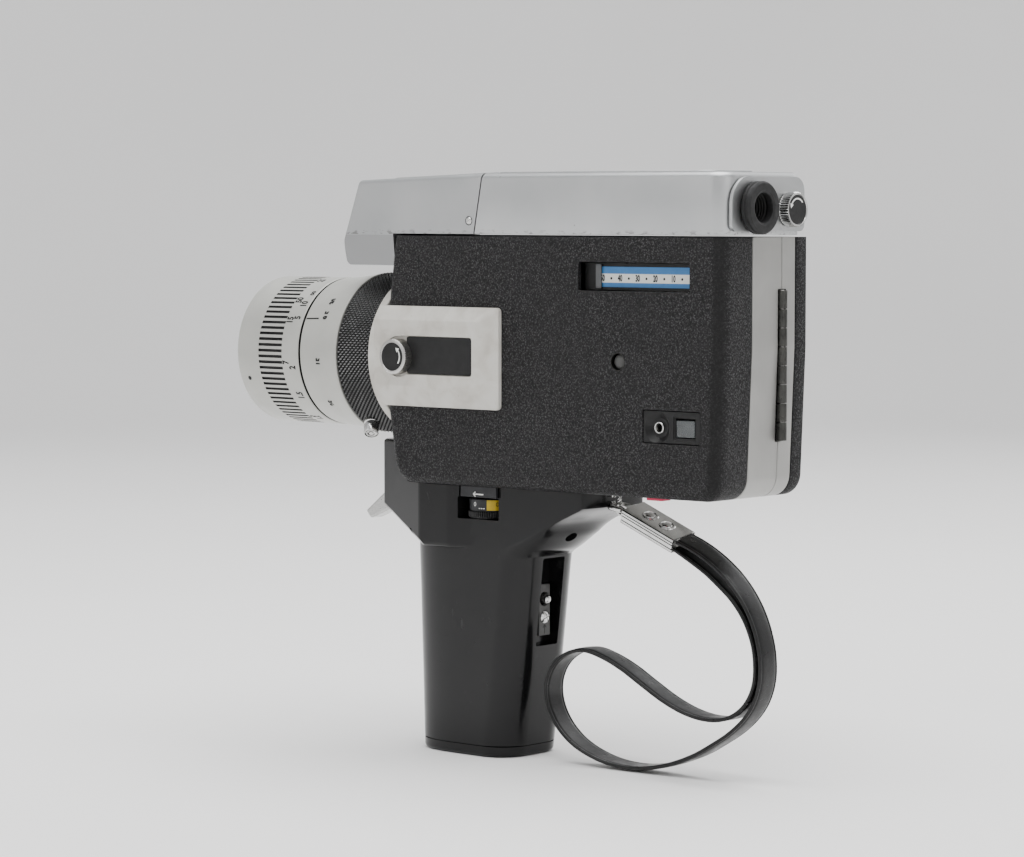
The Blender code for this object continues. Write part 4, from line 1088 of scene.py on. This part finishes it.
def build_finder():
    eye = (EYE_X, 0, EYE_Z)
    low, high = span("rear_end_plate")
    right = low.x + 1.4
    outline = box((right, low.z), (high.x, high.z), [2.5, 2.5, 9.5, 5.0], 12)
    plate = carve(prism("rear_end_plate_pressed", outline, Y, low.y, high.y, SATIN), *finder_holes())
    mount(soften(plate, 0.35), "satin_alloy", "rear_end_plate")

    barrel = [
        (7.6, 128.4), (7.6, 127.9), (7.2, 127.7), (7.2, 127.2), (7.6, 127.0), (7.6, 113.0), (5.7, 113.0),
        (5.7, 128.4)]
    piece = turned("eyepiece_barrel_grooved", barrel, eye, Y, BLACK, steps=96)
    mount(piece, "black_plastic", "eyepiece_barrel", body="eyepiece")
    corners = [
        (5.15, 131.0), (6.0, 131.45), (8.3, 131.45), (9.0, 130.7), (9.0, 130.0), (8.55, 129.75),
        (8.55, 129.3), (9.0, 129.0), (9.0, 128.1), (7.9, 127.5), (7.9, 128.7), (5.15, 128.7)]
    cup = rounded(corners, [0.25, 0.3, 0.5, 0.4, 0.15, 0.1, 0.1, 0.15, 0.3, 0.1, 0, 0], 4)
    mount(turned("eyecup_rubber", cup, eye, Y, RUBBER, steps=112), "rubber", "eyecup", body="eyepiece")
    baffles = [turned("baffle", [(5.65, y + 0.7), (5.65, y), (5.1, y + 0.35)], eye, Y, INK, steps=64)
               for y in [121.4 + 1.15 * k for k in range(6)]]
    mount(join_pieces("eyepiece_baffles", baffles), "black_plastic", body="eyepiece")
    lens = [
        (0, 120.6), (1.8, 120.5), (3.6, 120.15), (5.3, 119.4), (5.3, 117.4), (3.6, 117.0), (1.8, 116.78),
        (0, 116.7)]
    mount(turned("eyepiece_lens_coated", lens, eye, Y, COATED, steps=64), "glass", "eyepiece_lens")
    outline = [(6.4, 112), (6.4, 0), (5.4, 0), (5.4, 112)]
    mount(turned("finder_tube_black", outline, eye, Y, BLACK, steps=64), "black_plastic", "finder_tube")

    outline = [
        (0, 131.15), (5.15, 131.15), (5.25, 131.4), (5.7, 131.4), (6.0, 131.1), (6.0, 127.8), (5.7, 127.5),
        (1.7, 127.5), (1.7, 114.2), (0, 114.2)]
    # black ink at the foot of the chrome teeth is painted shade
    knob = serrated("shutter_knob_chrome", outline, (KNOB_X, 0, KNOB_Z), Y, 40, (4, 5), 0.6, CHROME, INK)
    mount(knob, "chrome", "eyepiece_shutter_knob", body="shutter_knob")
    disc = rod("shutter_knob_disc", (KNOB_X, 131.0, KNOB_Z), (KNOB_X, 131.2, KNOB_Z), 5.05, BLACK, steps=72)
    mount(disc, "black_plastic", body="shutter_knob")
    marks = curved_arrow(3.75, 40, 150, on_plane((KNOB_X, 131.18, KNOB_Z), (-1, 0, 0)))
    mount(join_pieces("shutter_knob_arrow", marks), "scale_print", body="shutter_knob")


# ------------------------------------------------------------------ left side: cheek, cap, counter, sockets

def build_cheek():
    outer = span("lens_mount")[1].x
    cap_y, cap_z = middle("cell_cap")[1:]
    rings = []
    for x, rear, bottom, top, corner in (
            (COVER_HIGH.x - 0.2, 27.5, 126.5, 162.8, 1.6), (26.05, 27.5, 126.5, 162.8, 1.6),
            (outer, 20.0, 134.0, 157.8, 0.9)):
        rings.append([(x, y, z) for y, z in box((-29.4, bottom), (rear, top), [0, corner, corner, 0], 6)])
    cheek = soften(loft("lens_cheek", rings, CHEEK), 0.3, 3, 15)
    recess = prism("recess", box((-16, 138.2), (17.9, 152.2), [0, 1.2, 1.2, 0], 6), X, 28.5, 32)
    carve(cheek, soften(recess, 0.15, 2),
          rod("cap_recess", (28.5, cap_y, cap_z), (40, cap_y, cap_z), 7.4, steps=80),
          rod("cap_well", (20, cap_y, cap_z), (40, cap_y, cap_z), 6.3, steps=80))
    mount(soften(cheek, 0.12, 2), "barrel_paint")
    flange = [
        (29.35, 32.5), (29.6, 32.25), (29.6, 29.2), (29.3, 28.9), (8.6, 28.9), (8.6, 20), (7.4, 20),
        (7.4, 32.5)]
    mount(turned("lens_flange", flange, LENS, FORWARD, CHEEK, steps=160), "barrel_paint", "lens_mount")

    low, high = span("name_plate")
    outline = box((low.y - 4.2, low.z), (high.y, high.z), 0.9, 6)
    plate = prism("blank_plate", outline, X, low.x - 0.1, high.x, BLACK)
    mount(soften(plate, 0.12, 2), "black_plastic", "name_plate")

    outline = [
        (0, 32.85), (5.15, 32.85), (5.25, 33.0), (5.9, 33.0), (6.3, 32.7), (6.5, 32.3), (6.5, 29.6),
        (6.2, 29.3), (6.2, 26.7), (0, 26.7)]
    cap = serrated("cell_cap_knurled", outline, (0, cap_y, cap_z), X, 48, (5, 6), 0.4, STEEL)
    mount(cap, "chrome", "cell_cap", body="meter_cap")
    disc = rod("cell_cap_disc", (32.7, cap_y, cap_z), (32.9, cap_y, cap_z), 5.1, BLACK, steps=72)
    mount(disc, "black_plastic", body="meter_cap")
    marks = curved_arrow(3.7, -40, 38, on_plane((32.9, cap_y, cap_z), Y))
    mount(join_pieces("cell_cap_arrow", marks), "scale_print", body="meter_cap")


def build_counter():
    low, high = span("counter_scale")
    front = high.x
    plate = prism("counter_plate", box(low.yz, high.yz), X, low.x, front, BLACK)
    mount(plate, "scale_print", "counter_scale")
    for name, bottom, upper, mat in (("counter_strip_low", 170.9, 172.4, BLUE_PRINT),
                                     ("counter_strip_mid", 172.4, 175.5, WHITE_PRINT),
                                     ("counter_strip_top", 175.5, 177.9, BLUE_PRINT)):
        strip = prism(name, box((69.8, bottom), (high.y - 0.2, upper)), X, front - 0.1, front + 0.06, mat)
        mount(strip, "scale_print")

    def on_strip(steps):
        return on_plane((front + 0.06, 71.0 + 7.75 * steps, 173.9), Y)

    texts = ("50", "40", "30", "20", "10")
    marks = [figure(text, 3.1, INK, on_strip(k), 0.62) for k, text in enumerate(texts)]
    marks += [filled(circle(0.46, 0.46), INK, on_strip(k + 0.5)) for k in range(5)]
    mount(join_pieces("counter_figures", marks), "scale_print")
    low, high = span("counter_pointer")
    flag = prism("counter_flag", box(low.yz, high.yz, 0.4), X, low.x, high.x, POINTER_GREY)
    mount(soften(flag, 0.12, 2), "grey_plastic", "counter_pointer", body="counter_hand")


def build_fittings():
    low, high = span("check_button")
    place = (0, *middle("check_button")[1:])
    outline = [
        (0, high.x), (0.9, high.x - 0.04), (1.7, high.x - 0.18), (2.3, high.x - 0.45), (2.6, high.x - 0.8),
        (2.7, high.x - 1.2), (2.7, low.x), (0, low.x)]
    button = turned("check_button_cap", outline, place, X, GREY, steps=56)
    mount(button, "grey_plastic", "check_button", body="battery_check")
    outline = [(3.1, 24.42), (3.1, 22.6), (2.8, 22.6), (2.8, 23.9), (2.95, 24.42)]
    mount(turned("check_button_collar", outline, place, X, DARK_STEEL, steps=56), "machined_metal")

    low, high = span("socket_panel")
    jack_y, jack_z = middle("remote_jack")[1:]
    panel = prism("socket_panel_moulded", box(low.yz, high.yz, 0.6), X, low.x, high.x, BLACK)
    carve(panel, rod("dish", (22.3, jack_y, jack_z), (24.5, jack_y, jack_z), 3.4, radius_end=5.9),
          prism("window", box((105.3, 120.0), (113.8, 126.8)), X, 20, 30),
          prism("rim", box((104.6, 119.3), (114.5, 127.5), 0.5), X, 23.75, 30),
          rod("well", (20, jack_y, jack_z), (25, jack_y, jack_z), 2.0))
    mount(soften(panel, 0.14, 2), "black_plastic", "socket_panel")
    near, far = (corner.x for corner in span("remote_jack"))
    outline = [(2.0, far - 0.1), (1.9, far), (1.6, far), (1.45, far - 0.3), (1.45, near), (2.0, near)]
    sleeve = turned("remote_jack_sleeve", outline, (0, jack_y, jack_z), X, CHROME, steps=48)
    mount(sleeve, "chrome", "remote_jack")

    low, high = span("battery_lamp")
    lens = prism("battery_lamp_lens", box(low.yz, high.yz, 0.5), X, high.x - 0.7, high.x, SMOKE)
    mount(soften(lens, 0.2, 2), "glass", "battery_lamp")
    tray = prism("battery_lamp_tray", box(low.yz, high.yz), X, low.x, low.x + 0.3, POINTER_GREY)
    mount(tray, "grey_plastic")


# ------------------------------------------------------------------ lens

FOCUS_GROOVES, GROOVE_STEPS = 80, 6
KNURL_ROUND, KNURL_ROWS = 104, 32


def build_lens():
    outline = [
        (24.9, 95.2), (24.9, 69.2), (27.2, 69.1), (27.55, 68.7), (27.75, 66), (28.0, 61), (28.45, 57.5),
        (29.0, 53.6), (29.35, 51.6), (29.75, 49.2), (29.75, 48.85), (29.5, 48.6), (25.6, 48.6),
        (25.6, 32.9), (22.5, 32.9), (22.5, 95.2)]
    barrel = turned("lens_barrel_painted", outline, LENS, FORWARD, BARREL, steps=192, sharp=24)
    mount(barrel, "barrel_paint", "lens_barrel")

    # rows 5 to 8 are the grooved part; from row 11 on come the dark rear face, the bore and the rim's steps
    outline = [
        (26.6, 101.8), (27.2, 101.8), (27.55, 101.6), (27.7, 101.2), (27.7, 96), (27.7, 90.5), (27.7, 90.4),
        (27.7, 78.4), (27.7, 78.3), (27.7, 74), (27.7, 70.2), (27.45, 69.9), (25.3, 69.9), (25.3, 96.0),
        (24.7, 96.0), (24.7, 98.6), (25.3, 98.7), (25.3, 99.4), (25.8, 99.5), (25.8, 100.2), (26.3, 100.3),
        (26.3, 101.0)]

    def grooved(k, row, radius):
        return radius - 0.5 if row in (6, 7) and k % GROOVE_STEPS in (1, 2) else radius

    def black_grooves(k, row):
        return int((row in (5, 6, 7) and k % GROOVE_STEPS < 3) or row > 10)

    ring = turned("focus_ring_ribbed", outline, LENS, FORWARD, BARREL, BLACK, sharp=24,
                  steps=FOCUS_GROOVES * GROOVE_STEPS, shape=grooved, paint=black_grooves)
    mount(ring, "barrel_paint", "focus_ring", body="focus")

    outline = [
        (0, 99.4), (4, 99.3), (8, 99.0), (12, 98.5), (16, 97.8), (20, 96.9), (22.1, 96.3), (22.1, 92.5),
        (12, 91.0), (0, 90.4)]
    glass = turned("front_lens_coated", outline, LENS, FORWARD, COATED, steps=96)
    mount(glass, "glass", "front_lens", body="focus")
    outline = [(22.0, 96.5), (22.3, 96.9), (24.6, 98.2), (24.6, 95.6), (22.0, 95.2)]
    keeper = turned("front_lens_keeper", outline, LENS, FORWARD, BLACK, steps=120)
    mount(keeper, "black_plastic", body="focus")
    outline = [(22.4, 95.0), (22.4, 34.0), (21.9, 34.0), (16.5, 64.0), (21.9, 95.0)]
    mount(turned("barrel_baffle", outline, LENS, FORWARD, BLACK, steps=96), "black_plastic")

    figures = [
        ("∞", -72.2, 52.4), ("50", -76.3, 44.4), ("10", -72.8, 40.5), ("15", -76.3, 25.8),
        ("5", -72.9, 28.0), ("7", -76.3, -7.8), ("2", -73.1, -11.6), ("1.5", -73.5, -35.7),
        ("5", -77.2, -62.2), ("1.2", -74.3, -64.4), ("25", -76.0, 72.9)]
    marks = [figure(text, 4.2, INK, on_round(27.7, y, turn), 0.66) for text, y, turn in figures]
    for turn in (-21.7, 98.3, 218.3):
        out = Vector((cosd(turn), 0, sind(turn)))
        head = Vector((0, -97, AXIS_Z)) + out * 27.4
        marks.append(rod("set_screw", head, head + out * 0.34, 0.85, INK, steps=24))
    mount(join_pieces("focus_figures", marks), "scale_print", body="focus")

    figures = [
        ("30", -57.6, 42.4, 28.45), ("9.5", -57.5, 30, 28.45), ("15", -58.3, -6, 28.35),
        ("25", -58.0, -40.8, 28.4)]
    marks = [figure(text, 4.3, INK, on_round(radius, y, turn), 0.66) for text, y, turn, radius in figures]

    def on_lean(u, v, w):
        """The index line: the barrel shrinks towards the focus ring there."""
        angle = math.radians(27.5) + u / 27.8
        r = 28.0 - 0.4 * v / 7.7 + w + 0.02
        return Vector((r * math.cos(angle), -61.7 - v, AXIS_Z + r * math.sin(angle)))

    marks += strokes([[(0, 0), (0, 6.6)]], 0.55, INK, on_lean)
    mount(join_pieces("zoom_figures", marks), "scale_print")


def build_zoom():
    low, high = span("zoom_ring")
    front, rear = -low.y, -high.y
    wide, narrow = 29.8, 28.8
    outline = [(26.0, front), (29.2, front), (29.5, front - 0.3)]
    first, last = len(outline), len(outline) + KNURL_ROWS
    outline += [(wide - 0.4 + (narrow - wide) * k / KNURL_ROWS,
                 front - 0.5 - (front - rear - 1.0) * k / KNURL_ROWS) for k in range(KNURL_ROWS + 1)]
    outline += [(28.6, rear + 0.2), (28.4, rear), (26.0, rear)]

    def knurled(k, row, radius):
        """Pyramids, four steps wide, where two slanted sets of ridges cross."""
        if not first <= row <= last:
            return radius
        peaks = [1 - abs((place % 4) / 2 - 1) for place in (k + row, k - row)]
        return radius + 1.1 * min(peaks) - 0.35

    def worn_and_highlit_tips(k, row):
        """One face in two round a pyramid's peak is lighter: a painted highlight for the peak's glint, partly
        rubbed wear.
        """
        if not first <= row < last or (k + row) % 2:
            return 0
        return int(any((a + b) % 4 == 2 and (a - b) % 4 == 2 for a in (k, k + 1) for b in (row, row + 1)))

    ring = turned("zoom_ring_knurled", outline, LENS, FORWARD, KNURL, KNURL_TIPS_WEAR_AND_HIGHLIGHT, steps=KNURL_ROUND * 4,
                  shape=knurled, paint=worn_and_highlit_tips, sharp=12)
    mount(ring, "black_knurl", "zoom_ring", body="zoom")

    foot = Vector((0, -43.4, AXIS_Z)) + Vector((cosd(-57), 0, sind(-57))) * 28.8
    post = [
        (0, 6.6), (0.8, 6.6), (0.9, 6.1), (1.35, 6.1), (1.45, 6.6), (1.9, 6.6), (2.0, 6.2), (2.3, 6.2),
        (2.4, 6.7), (2.65, 6.6), (2.8, 6.2), (2.8, 3.0), (2.5, 2.8), (2.5, 2.2), (2.8, 2.0), (2.8, 0),
        (0, 0)]
    lever = turned("zoom_lever_post", post, foot, (0.50, 0.40, -0.77), CHROME, steps=56)
    mount(lever, "chrome", "zoom_lever", body="zoom")


# ------------------------------------------------------------------ grip

def smooth_part(value, low, high):
    part = max(0.0, min(1.0, (value - low) / (high - low)))
    return part * part * (3 - 2 * part)


def between(value, *stops):
    """Straight-line interpolation through (place, value) stops."""
    if value <= stops[0][0]:
        return stops[0][1]
    for (a, first), (b, second) in zip(stops, stops[1:]):
        if value <= b:
            return first + (second - first) * (value - a) / (b - a)
    return stops[-1][1]


def grip_ring(z, shrink):
    """The grip's outline at one height: flat sides and rear with round corners and a full front.  Above
    73 mm the rear sweeps back into the flare that carries the body."""
    half_x = span("grip_base")[1].x - shrink + 0.2 * smooth_part(z, 60, 77)
    front_y = between(z, (0, -23.9), (57, -26.0), (74, -26.6)) + shrink
    rear_y = between(z, (0, 22.5), (22.5, 25.4), (55.5, 29.2), (74, 31.2)) - shrink
    corner = between(z, (0, 11.0), (74, 10.8))
    flare = smooth_part(z, 73.0, 76.4)
    ridge_y = between(z, (76, 21.8), (92.4, 58.4))
    bulge = between(z, (76, 16.6), (79, 13.6), (82, 10.2), (85, 5.0), (87.5, 1.7), (98, 1.4))
    crown, power, middle_y = 0.5, 0.67, 2.0
    half = []
    for k in range(33):
        turn = 90 - 90 * max(0, k - 12) / 20
        x = (half_x - corner) * k / 12 if k <= 12 else half_x - corner * (1 - cosd(turn))
        boxy = Vector((x, rear_y - corner * (1 - sind(turn)) + crown * (1 - (x / half_x) ** 2)))
        a = 90 * (1 - k / 32)
        half.append(boxy.lerp(Vector((half_x * cosd(a), ridge_y + bulge * sind(a))), flare))
    side_y = half[-1].y
    half += [Vector((half_x, side_y + (middle_y - side_y) * k / 7)) for k in range(1, 8)]
    half += [Vector((half_x * cosd(a) ** power, middle_y + (front_y - middle_y) * sind(a) ** power))
             for a in [90 * k / 24 for k in range(1, 25)]]
    half[-1].x = 0
    return [(p.x, p.y, z) for p in half] + [(-p.x, p.y, z) for p in reversed(half[1:-1])]


def build_grip():
    top = span("grip_base")[1].z
    base = loft("grip_base_plate", [grip_ring(z, s) for z, s in (
        (0.0, 1.5), (0.15, 0.9), (0.45, 0.45), (0.9, 0.15), (1.5, 0), (top - 0.1, 0), (top, 0.15))], GRIP)
    socket_y = 13.0
    carve(base, rod("socket", (0, socket_y, -1), (0, socket_y, 5), 3.2))
    mount(even(base), "grip_plastic", "grip_base")
    thread = [(3.9, 0.05), (3.2, 0.05)]
    for k in range(8):
        thread += [(2.75, 0.35 + 0.45 * k), (3.15, 0.57 + 0.45 * k)]
    thread += [(3.3, 3.9), (3.9, 3.9)]
    mount(turned("tripod_bush", thread, (0, socket_y, 0), Z, STEEL, steps=48), "machined_metal")

    levels = [4.15, 4.4, 12, 22, 32, 42, 50, 56, 60] + [62 + 1.25 * k for k in range(20)]
    levels += [86.8, 88.2, 89.6, 91.0, 91.8, 92.6, 93.6, 94.6, 96.0, 97.9, 98.1]
    column = loft("grip_moulding", [grip_ring(z, 0.15 if z < 4.3 else 0.0) for z in levels], GRIP)

    def layered(name, corners, radii, edge):
        """A block of one plan, drawn in at each (inset, height) level of its edge."""
        plan = rounded(mirrored(corners), radii + radii[::-1], 8)
        return loft(name, [[(x, y, z) for x, y in closed_inset(plan[::-1], s)] for s, z in edge], GRIP)

    edge = [(1.6 * (1 - sind(a)), 75.2 + 1.6 * (1 - cosd(a))) for a in range(0, 91, 18)]
    nose = layered("nose", [(17.0, 7.0), (19.1, -3.0), (19.2, -16.8), (8.8, -43.8), (5.5, -46.4)],
                   [0, 8, 5.5, 3, 2.5], edge + [(0, 98.1)])
    edge = [(0, 97.0), (0, 111.4)] + [(1.2 * (1 - cosd(a)), 111.4 + 1.2 * sind(a)) for a in (22, 45, 67, 90)]
    riser = layered("riser", [(16.4, -24.0), (8.8, -43.8), (5.5, -46.4)], [1.5, 3, 2.5], edge)
    chin = prism("chin", [(-80, 50), (-16.0, 50), (-16.0, 75.0), (-60, 93.5), (-80, 102)], X, -40, 40)
    carve(nose, chin, *[chin_chamfer(side) for side in (1, -1)])
    settle(soften(nose, 1.0, 4, 30, flat=False))
    boolean(column, "UNION", (nose, riser))
    carve(column,
          prism("trigger_room", box((-60, 80.5), (-31.5, 105.5), 1), X, -4.9, 4.9),
          prism("dial_room", box((1.2, 86.2), (20.0, 94.2), 0.5), X, 1.2, 30),
          prism("label_room", box((1.8, 93.8), (20.0, 99)), X, 17.0, 30),
          prism("filter_slot", box((-6, 40.5), (6, 72.5), 0.8), Y, 24.0, 50),
          rod("flare_hole", (5, 41.2, 84.7), (5, 49.7, 71.7), 2.3),
          prism("chin_slot", box((14.6, -24.5), (17.6, -22.6)), Z, 70, 81))
    mount(even(column), "grip_plastic", "grip_handle", "grip_head")


def chin_chamfer(side):
    """Cuts the edge between the nose's slanted side and its chin."""
    out = Vector((0.618 * side, -0.495, -0.610))
    start = Vector((19.2 * side, -16.8, 75.2)) - out * 1.5
    cutter = prism("chamfer", box((-60, -60), (60, 60)), Z, 0, 30)
    return moved(cutter, Matrix.Translation(start) @ out.to_track_quat("Z", "Y").to_matrix().to_4x4())


def build_mode_dial():
    low, high = span("mode_label")
    outline = box((low.y + 0.9, low.z), (high.y - 0.3, 98.2), 0.25, 3)
    label = prism("mode_label_plate", outline, X, low.x, high.x, DIAL_GREY)
    mount(soften(label, 0.1, 2), "grey_plastic", "mode_label")
    arrow = strokes([[(-1.8, 0), (2.6, 0)], [(-1.2, 0.85), (-2.2, 0), (-1.2, -0.85)]], 0.42, WHITE_INK,
                    on_plane((high.x, 11.2, 95.4), Y))
    mount(join_pieces("mode_label_arrow", arrow), "scale_print")

    low, high = span("mode_dial")
    x, y = middle("mode_dial")[:2]
    big, drum = (high.x - low.x) / 2, 8.0
    outline = [
        (0, high.z), (7.7, high.z), (drum, high.z - 0.3), (drum, 89.6), (7.8, 89.5), (7.8, 89.2),
        (big, 89.0), (big, 87.2), (big - 0.5, 86.7), (7.0, 86.5), (0, 86.5)]

    def dial_teeth(k, row, radius):
        return radius - 0.45 if row in (6, 7) and k % 3 == 0 else radius

    def dial_colours(k, row):
        return 1 if row == 2 and 14 <= k <= 34 else 2 if row >= 4 else 0

    dial = turned("mode_dial_wheel", outline, (x, y, 0), Z, DIAL_GREY, YELLOW, BLACK, steps=180,
                  shape=dial_teeth, paint=dial_colours)
    mount(dial, "grey_plastic", "mode_dial", body="speed_dial")

    def on_dial(degrees, height):
        def spot(u, v, w):
            a = math.radians(degrees) + u / drum
            return Vector((x + (drum + w) * math.cos(a), y + (drum + w) * math.sin(a), height + v))
        return spot

    marks = []
    for degrees, mat in ((-8, WHITE_INK), (56, INK), (120, WHITE_INK), (180, WHITE_INK), (240, WHITE_INK)):
        marks += strokes([circle(0.5, 0.65, 13)], 0.22, mat, on_dial(degrees, 91.8))
    marks += strokes([[(-0.9, 0), (-0.4, 0)], [(0, 0), (0.5, 0)], [(0.9, 0), (1.4, 0)]], 0.3, WHITE_INK,
                     on_dial(12, 90.3))
    mount(join_pieces("mode_dial_marks", marks), "scale_print", body="speed_dial")


def build_trigger():
    low, high = span("trigger")
    corners = [
        (-58.3, 84.6), (-55.9, 81.8), (-48.8, 84.7), (-39.5, 89.5), (-34.6, 98), (-36.5, 103.2),
        (-40.6, 103.2), (-42.4, 98.0), (-49.1, 91.9)]
    outline = rounded(corners, [0.7, 1.2, 12, 5, 3, 1.5, 1.5, 3, 14], 6)
    lever = prism("trigger_blade", outline, X, low.x + 0.9, high.x - 0.9, TRIGGER_METAL)
    carve(lever, rod("bore", (-10, -38.6, 100), (10, -38.6, 100), 1.25))
    mount(soften(lever, 0.8, 4), "satin_alloy", "trigger", body="trigger_lever")


def build_filter_slider():
    low, high = span("filter_slider")
    far, ball_z, screw_z = 27.0, 57.2, 50.6
    plate = prism("filter_slider_plate", box((-high.x, low.z), (high.x, high.z), 0.3, 3), Y, low.y, far, GREY)
    carve(plate, rod("ball_seat", (0, 25, ball_z), (0, 30, ball_z), 2.35, radius_end=2.9))
    mount(soften(plate, 0.15, 2), "grey_plastic", "filter_slider", body="filter_key")
    ball = [(0.0, 29.6)] + [(1.7 * sind(a), 27.9 + 1.7 * cosd(a)) for a in range(10, 91, 10)]
    ball = turned("filter_slider_ball", ball + [(1.7, 25.8), (0, 25.8)], (0, 0, ball_z), Y, CHROME, steps=40)
    mount(ball, "chrome", body="filter_key")
    head = [(0, 28.2), (1.0, 28.12), (1.9, 27.8), (2.3, 27.3), (2.3, 26.8), (0, 26.8)]
    screw = turned("filter_slider_screw", head, (0, 0, screw_z), Y, CHROME, steps=48)
    cuts = []
    for turn, wide in ((20, 0.24), (110, 0.16)):
        cut = prism("cut", box((-3, -wide), (3, wide)), Y, 0.45, 3)
        cuts.append(moved(cut, turned_by((0, 27.1, screw_z), turn, "Y")))
    mount(carve(screw, *cuts), "chrome", body="filter_key")
    arrow = strokes([[(0, -1.6), (0, 1.5)], [(-0.9, 0.6), (0, 1.7), (0.9, 0.6)]], 0.4, INK,
                    on_plane((0, far, 46.2), (-1, 0, 0)))
    mount(join_pieces("filter_slider_arrow", arrow), "scale_print", body="filter_key")
    sun = [[(0.75 * cosd(a), 0.75 * sind(a)), (1.9 * cosd(a), 1.9 * sind(a))] for a in range(0, 360, 45)]
    sun = strokes(sun + [circle(0.55, 0.55, 13)], 0.32, WHITE_INK, on_plane((0.6, 24.02, 68.6), (-1, 0, 0)))
    mount(join_pieces("filter_slot_sign", sun), "scale_print")


# ------------------------------------------------------------------ whole camera

def finish_inner_nodes():
    """CAD parts that stay as they are take the materials of this scene."""
    finishes = {
        "leatherette": LEATHERETTE, "satin_alloy": SATIN, "frame_alloy": STRIP, "barrel_paint": BARREL,
        "black_knurl": KNURL, "chrome": CHROME, "grip_plastic": GRIP, "black_plastic": BLACK,
        "rubber": RUBBER, "strap_leather": LEATHER, "scale_print": WHITE_PRINT, "grey_plastic": GREY,
        "glass": COATED, "machined_metal": STEEL, "brass": BRASS, "cell_wrap": WRAP}
    for part in frame["record"]["subparts"]:
        for slot in frame["nodes"][part["node"]].material_slots:
            slot.material = finishes[part["material_slot"]]


finish_inner_nodes()
build_studio()
strap, route = build_strap()
clip_pieces = build_clip()
build_lug()
length = sum((b - a).length for a, b in zip(route, route[1:]))
tuple(route[0])
[tuple(p) for p in route]
build_casing()
build_housing()
build_finder()
build_cheek()
build_counter()
build_fittings()
build_lens()
build_zoom()
build_grip()
build_mode_dial()
build_trigger()
build_filter_slider()
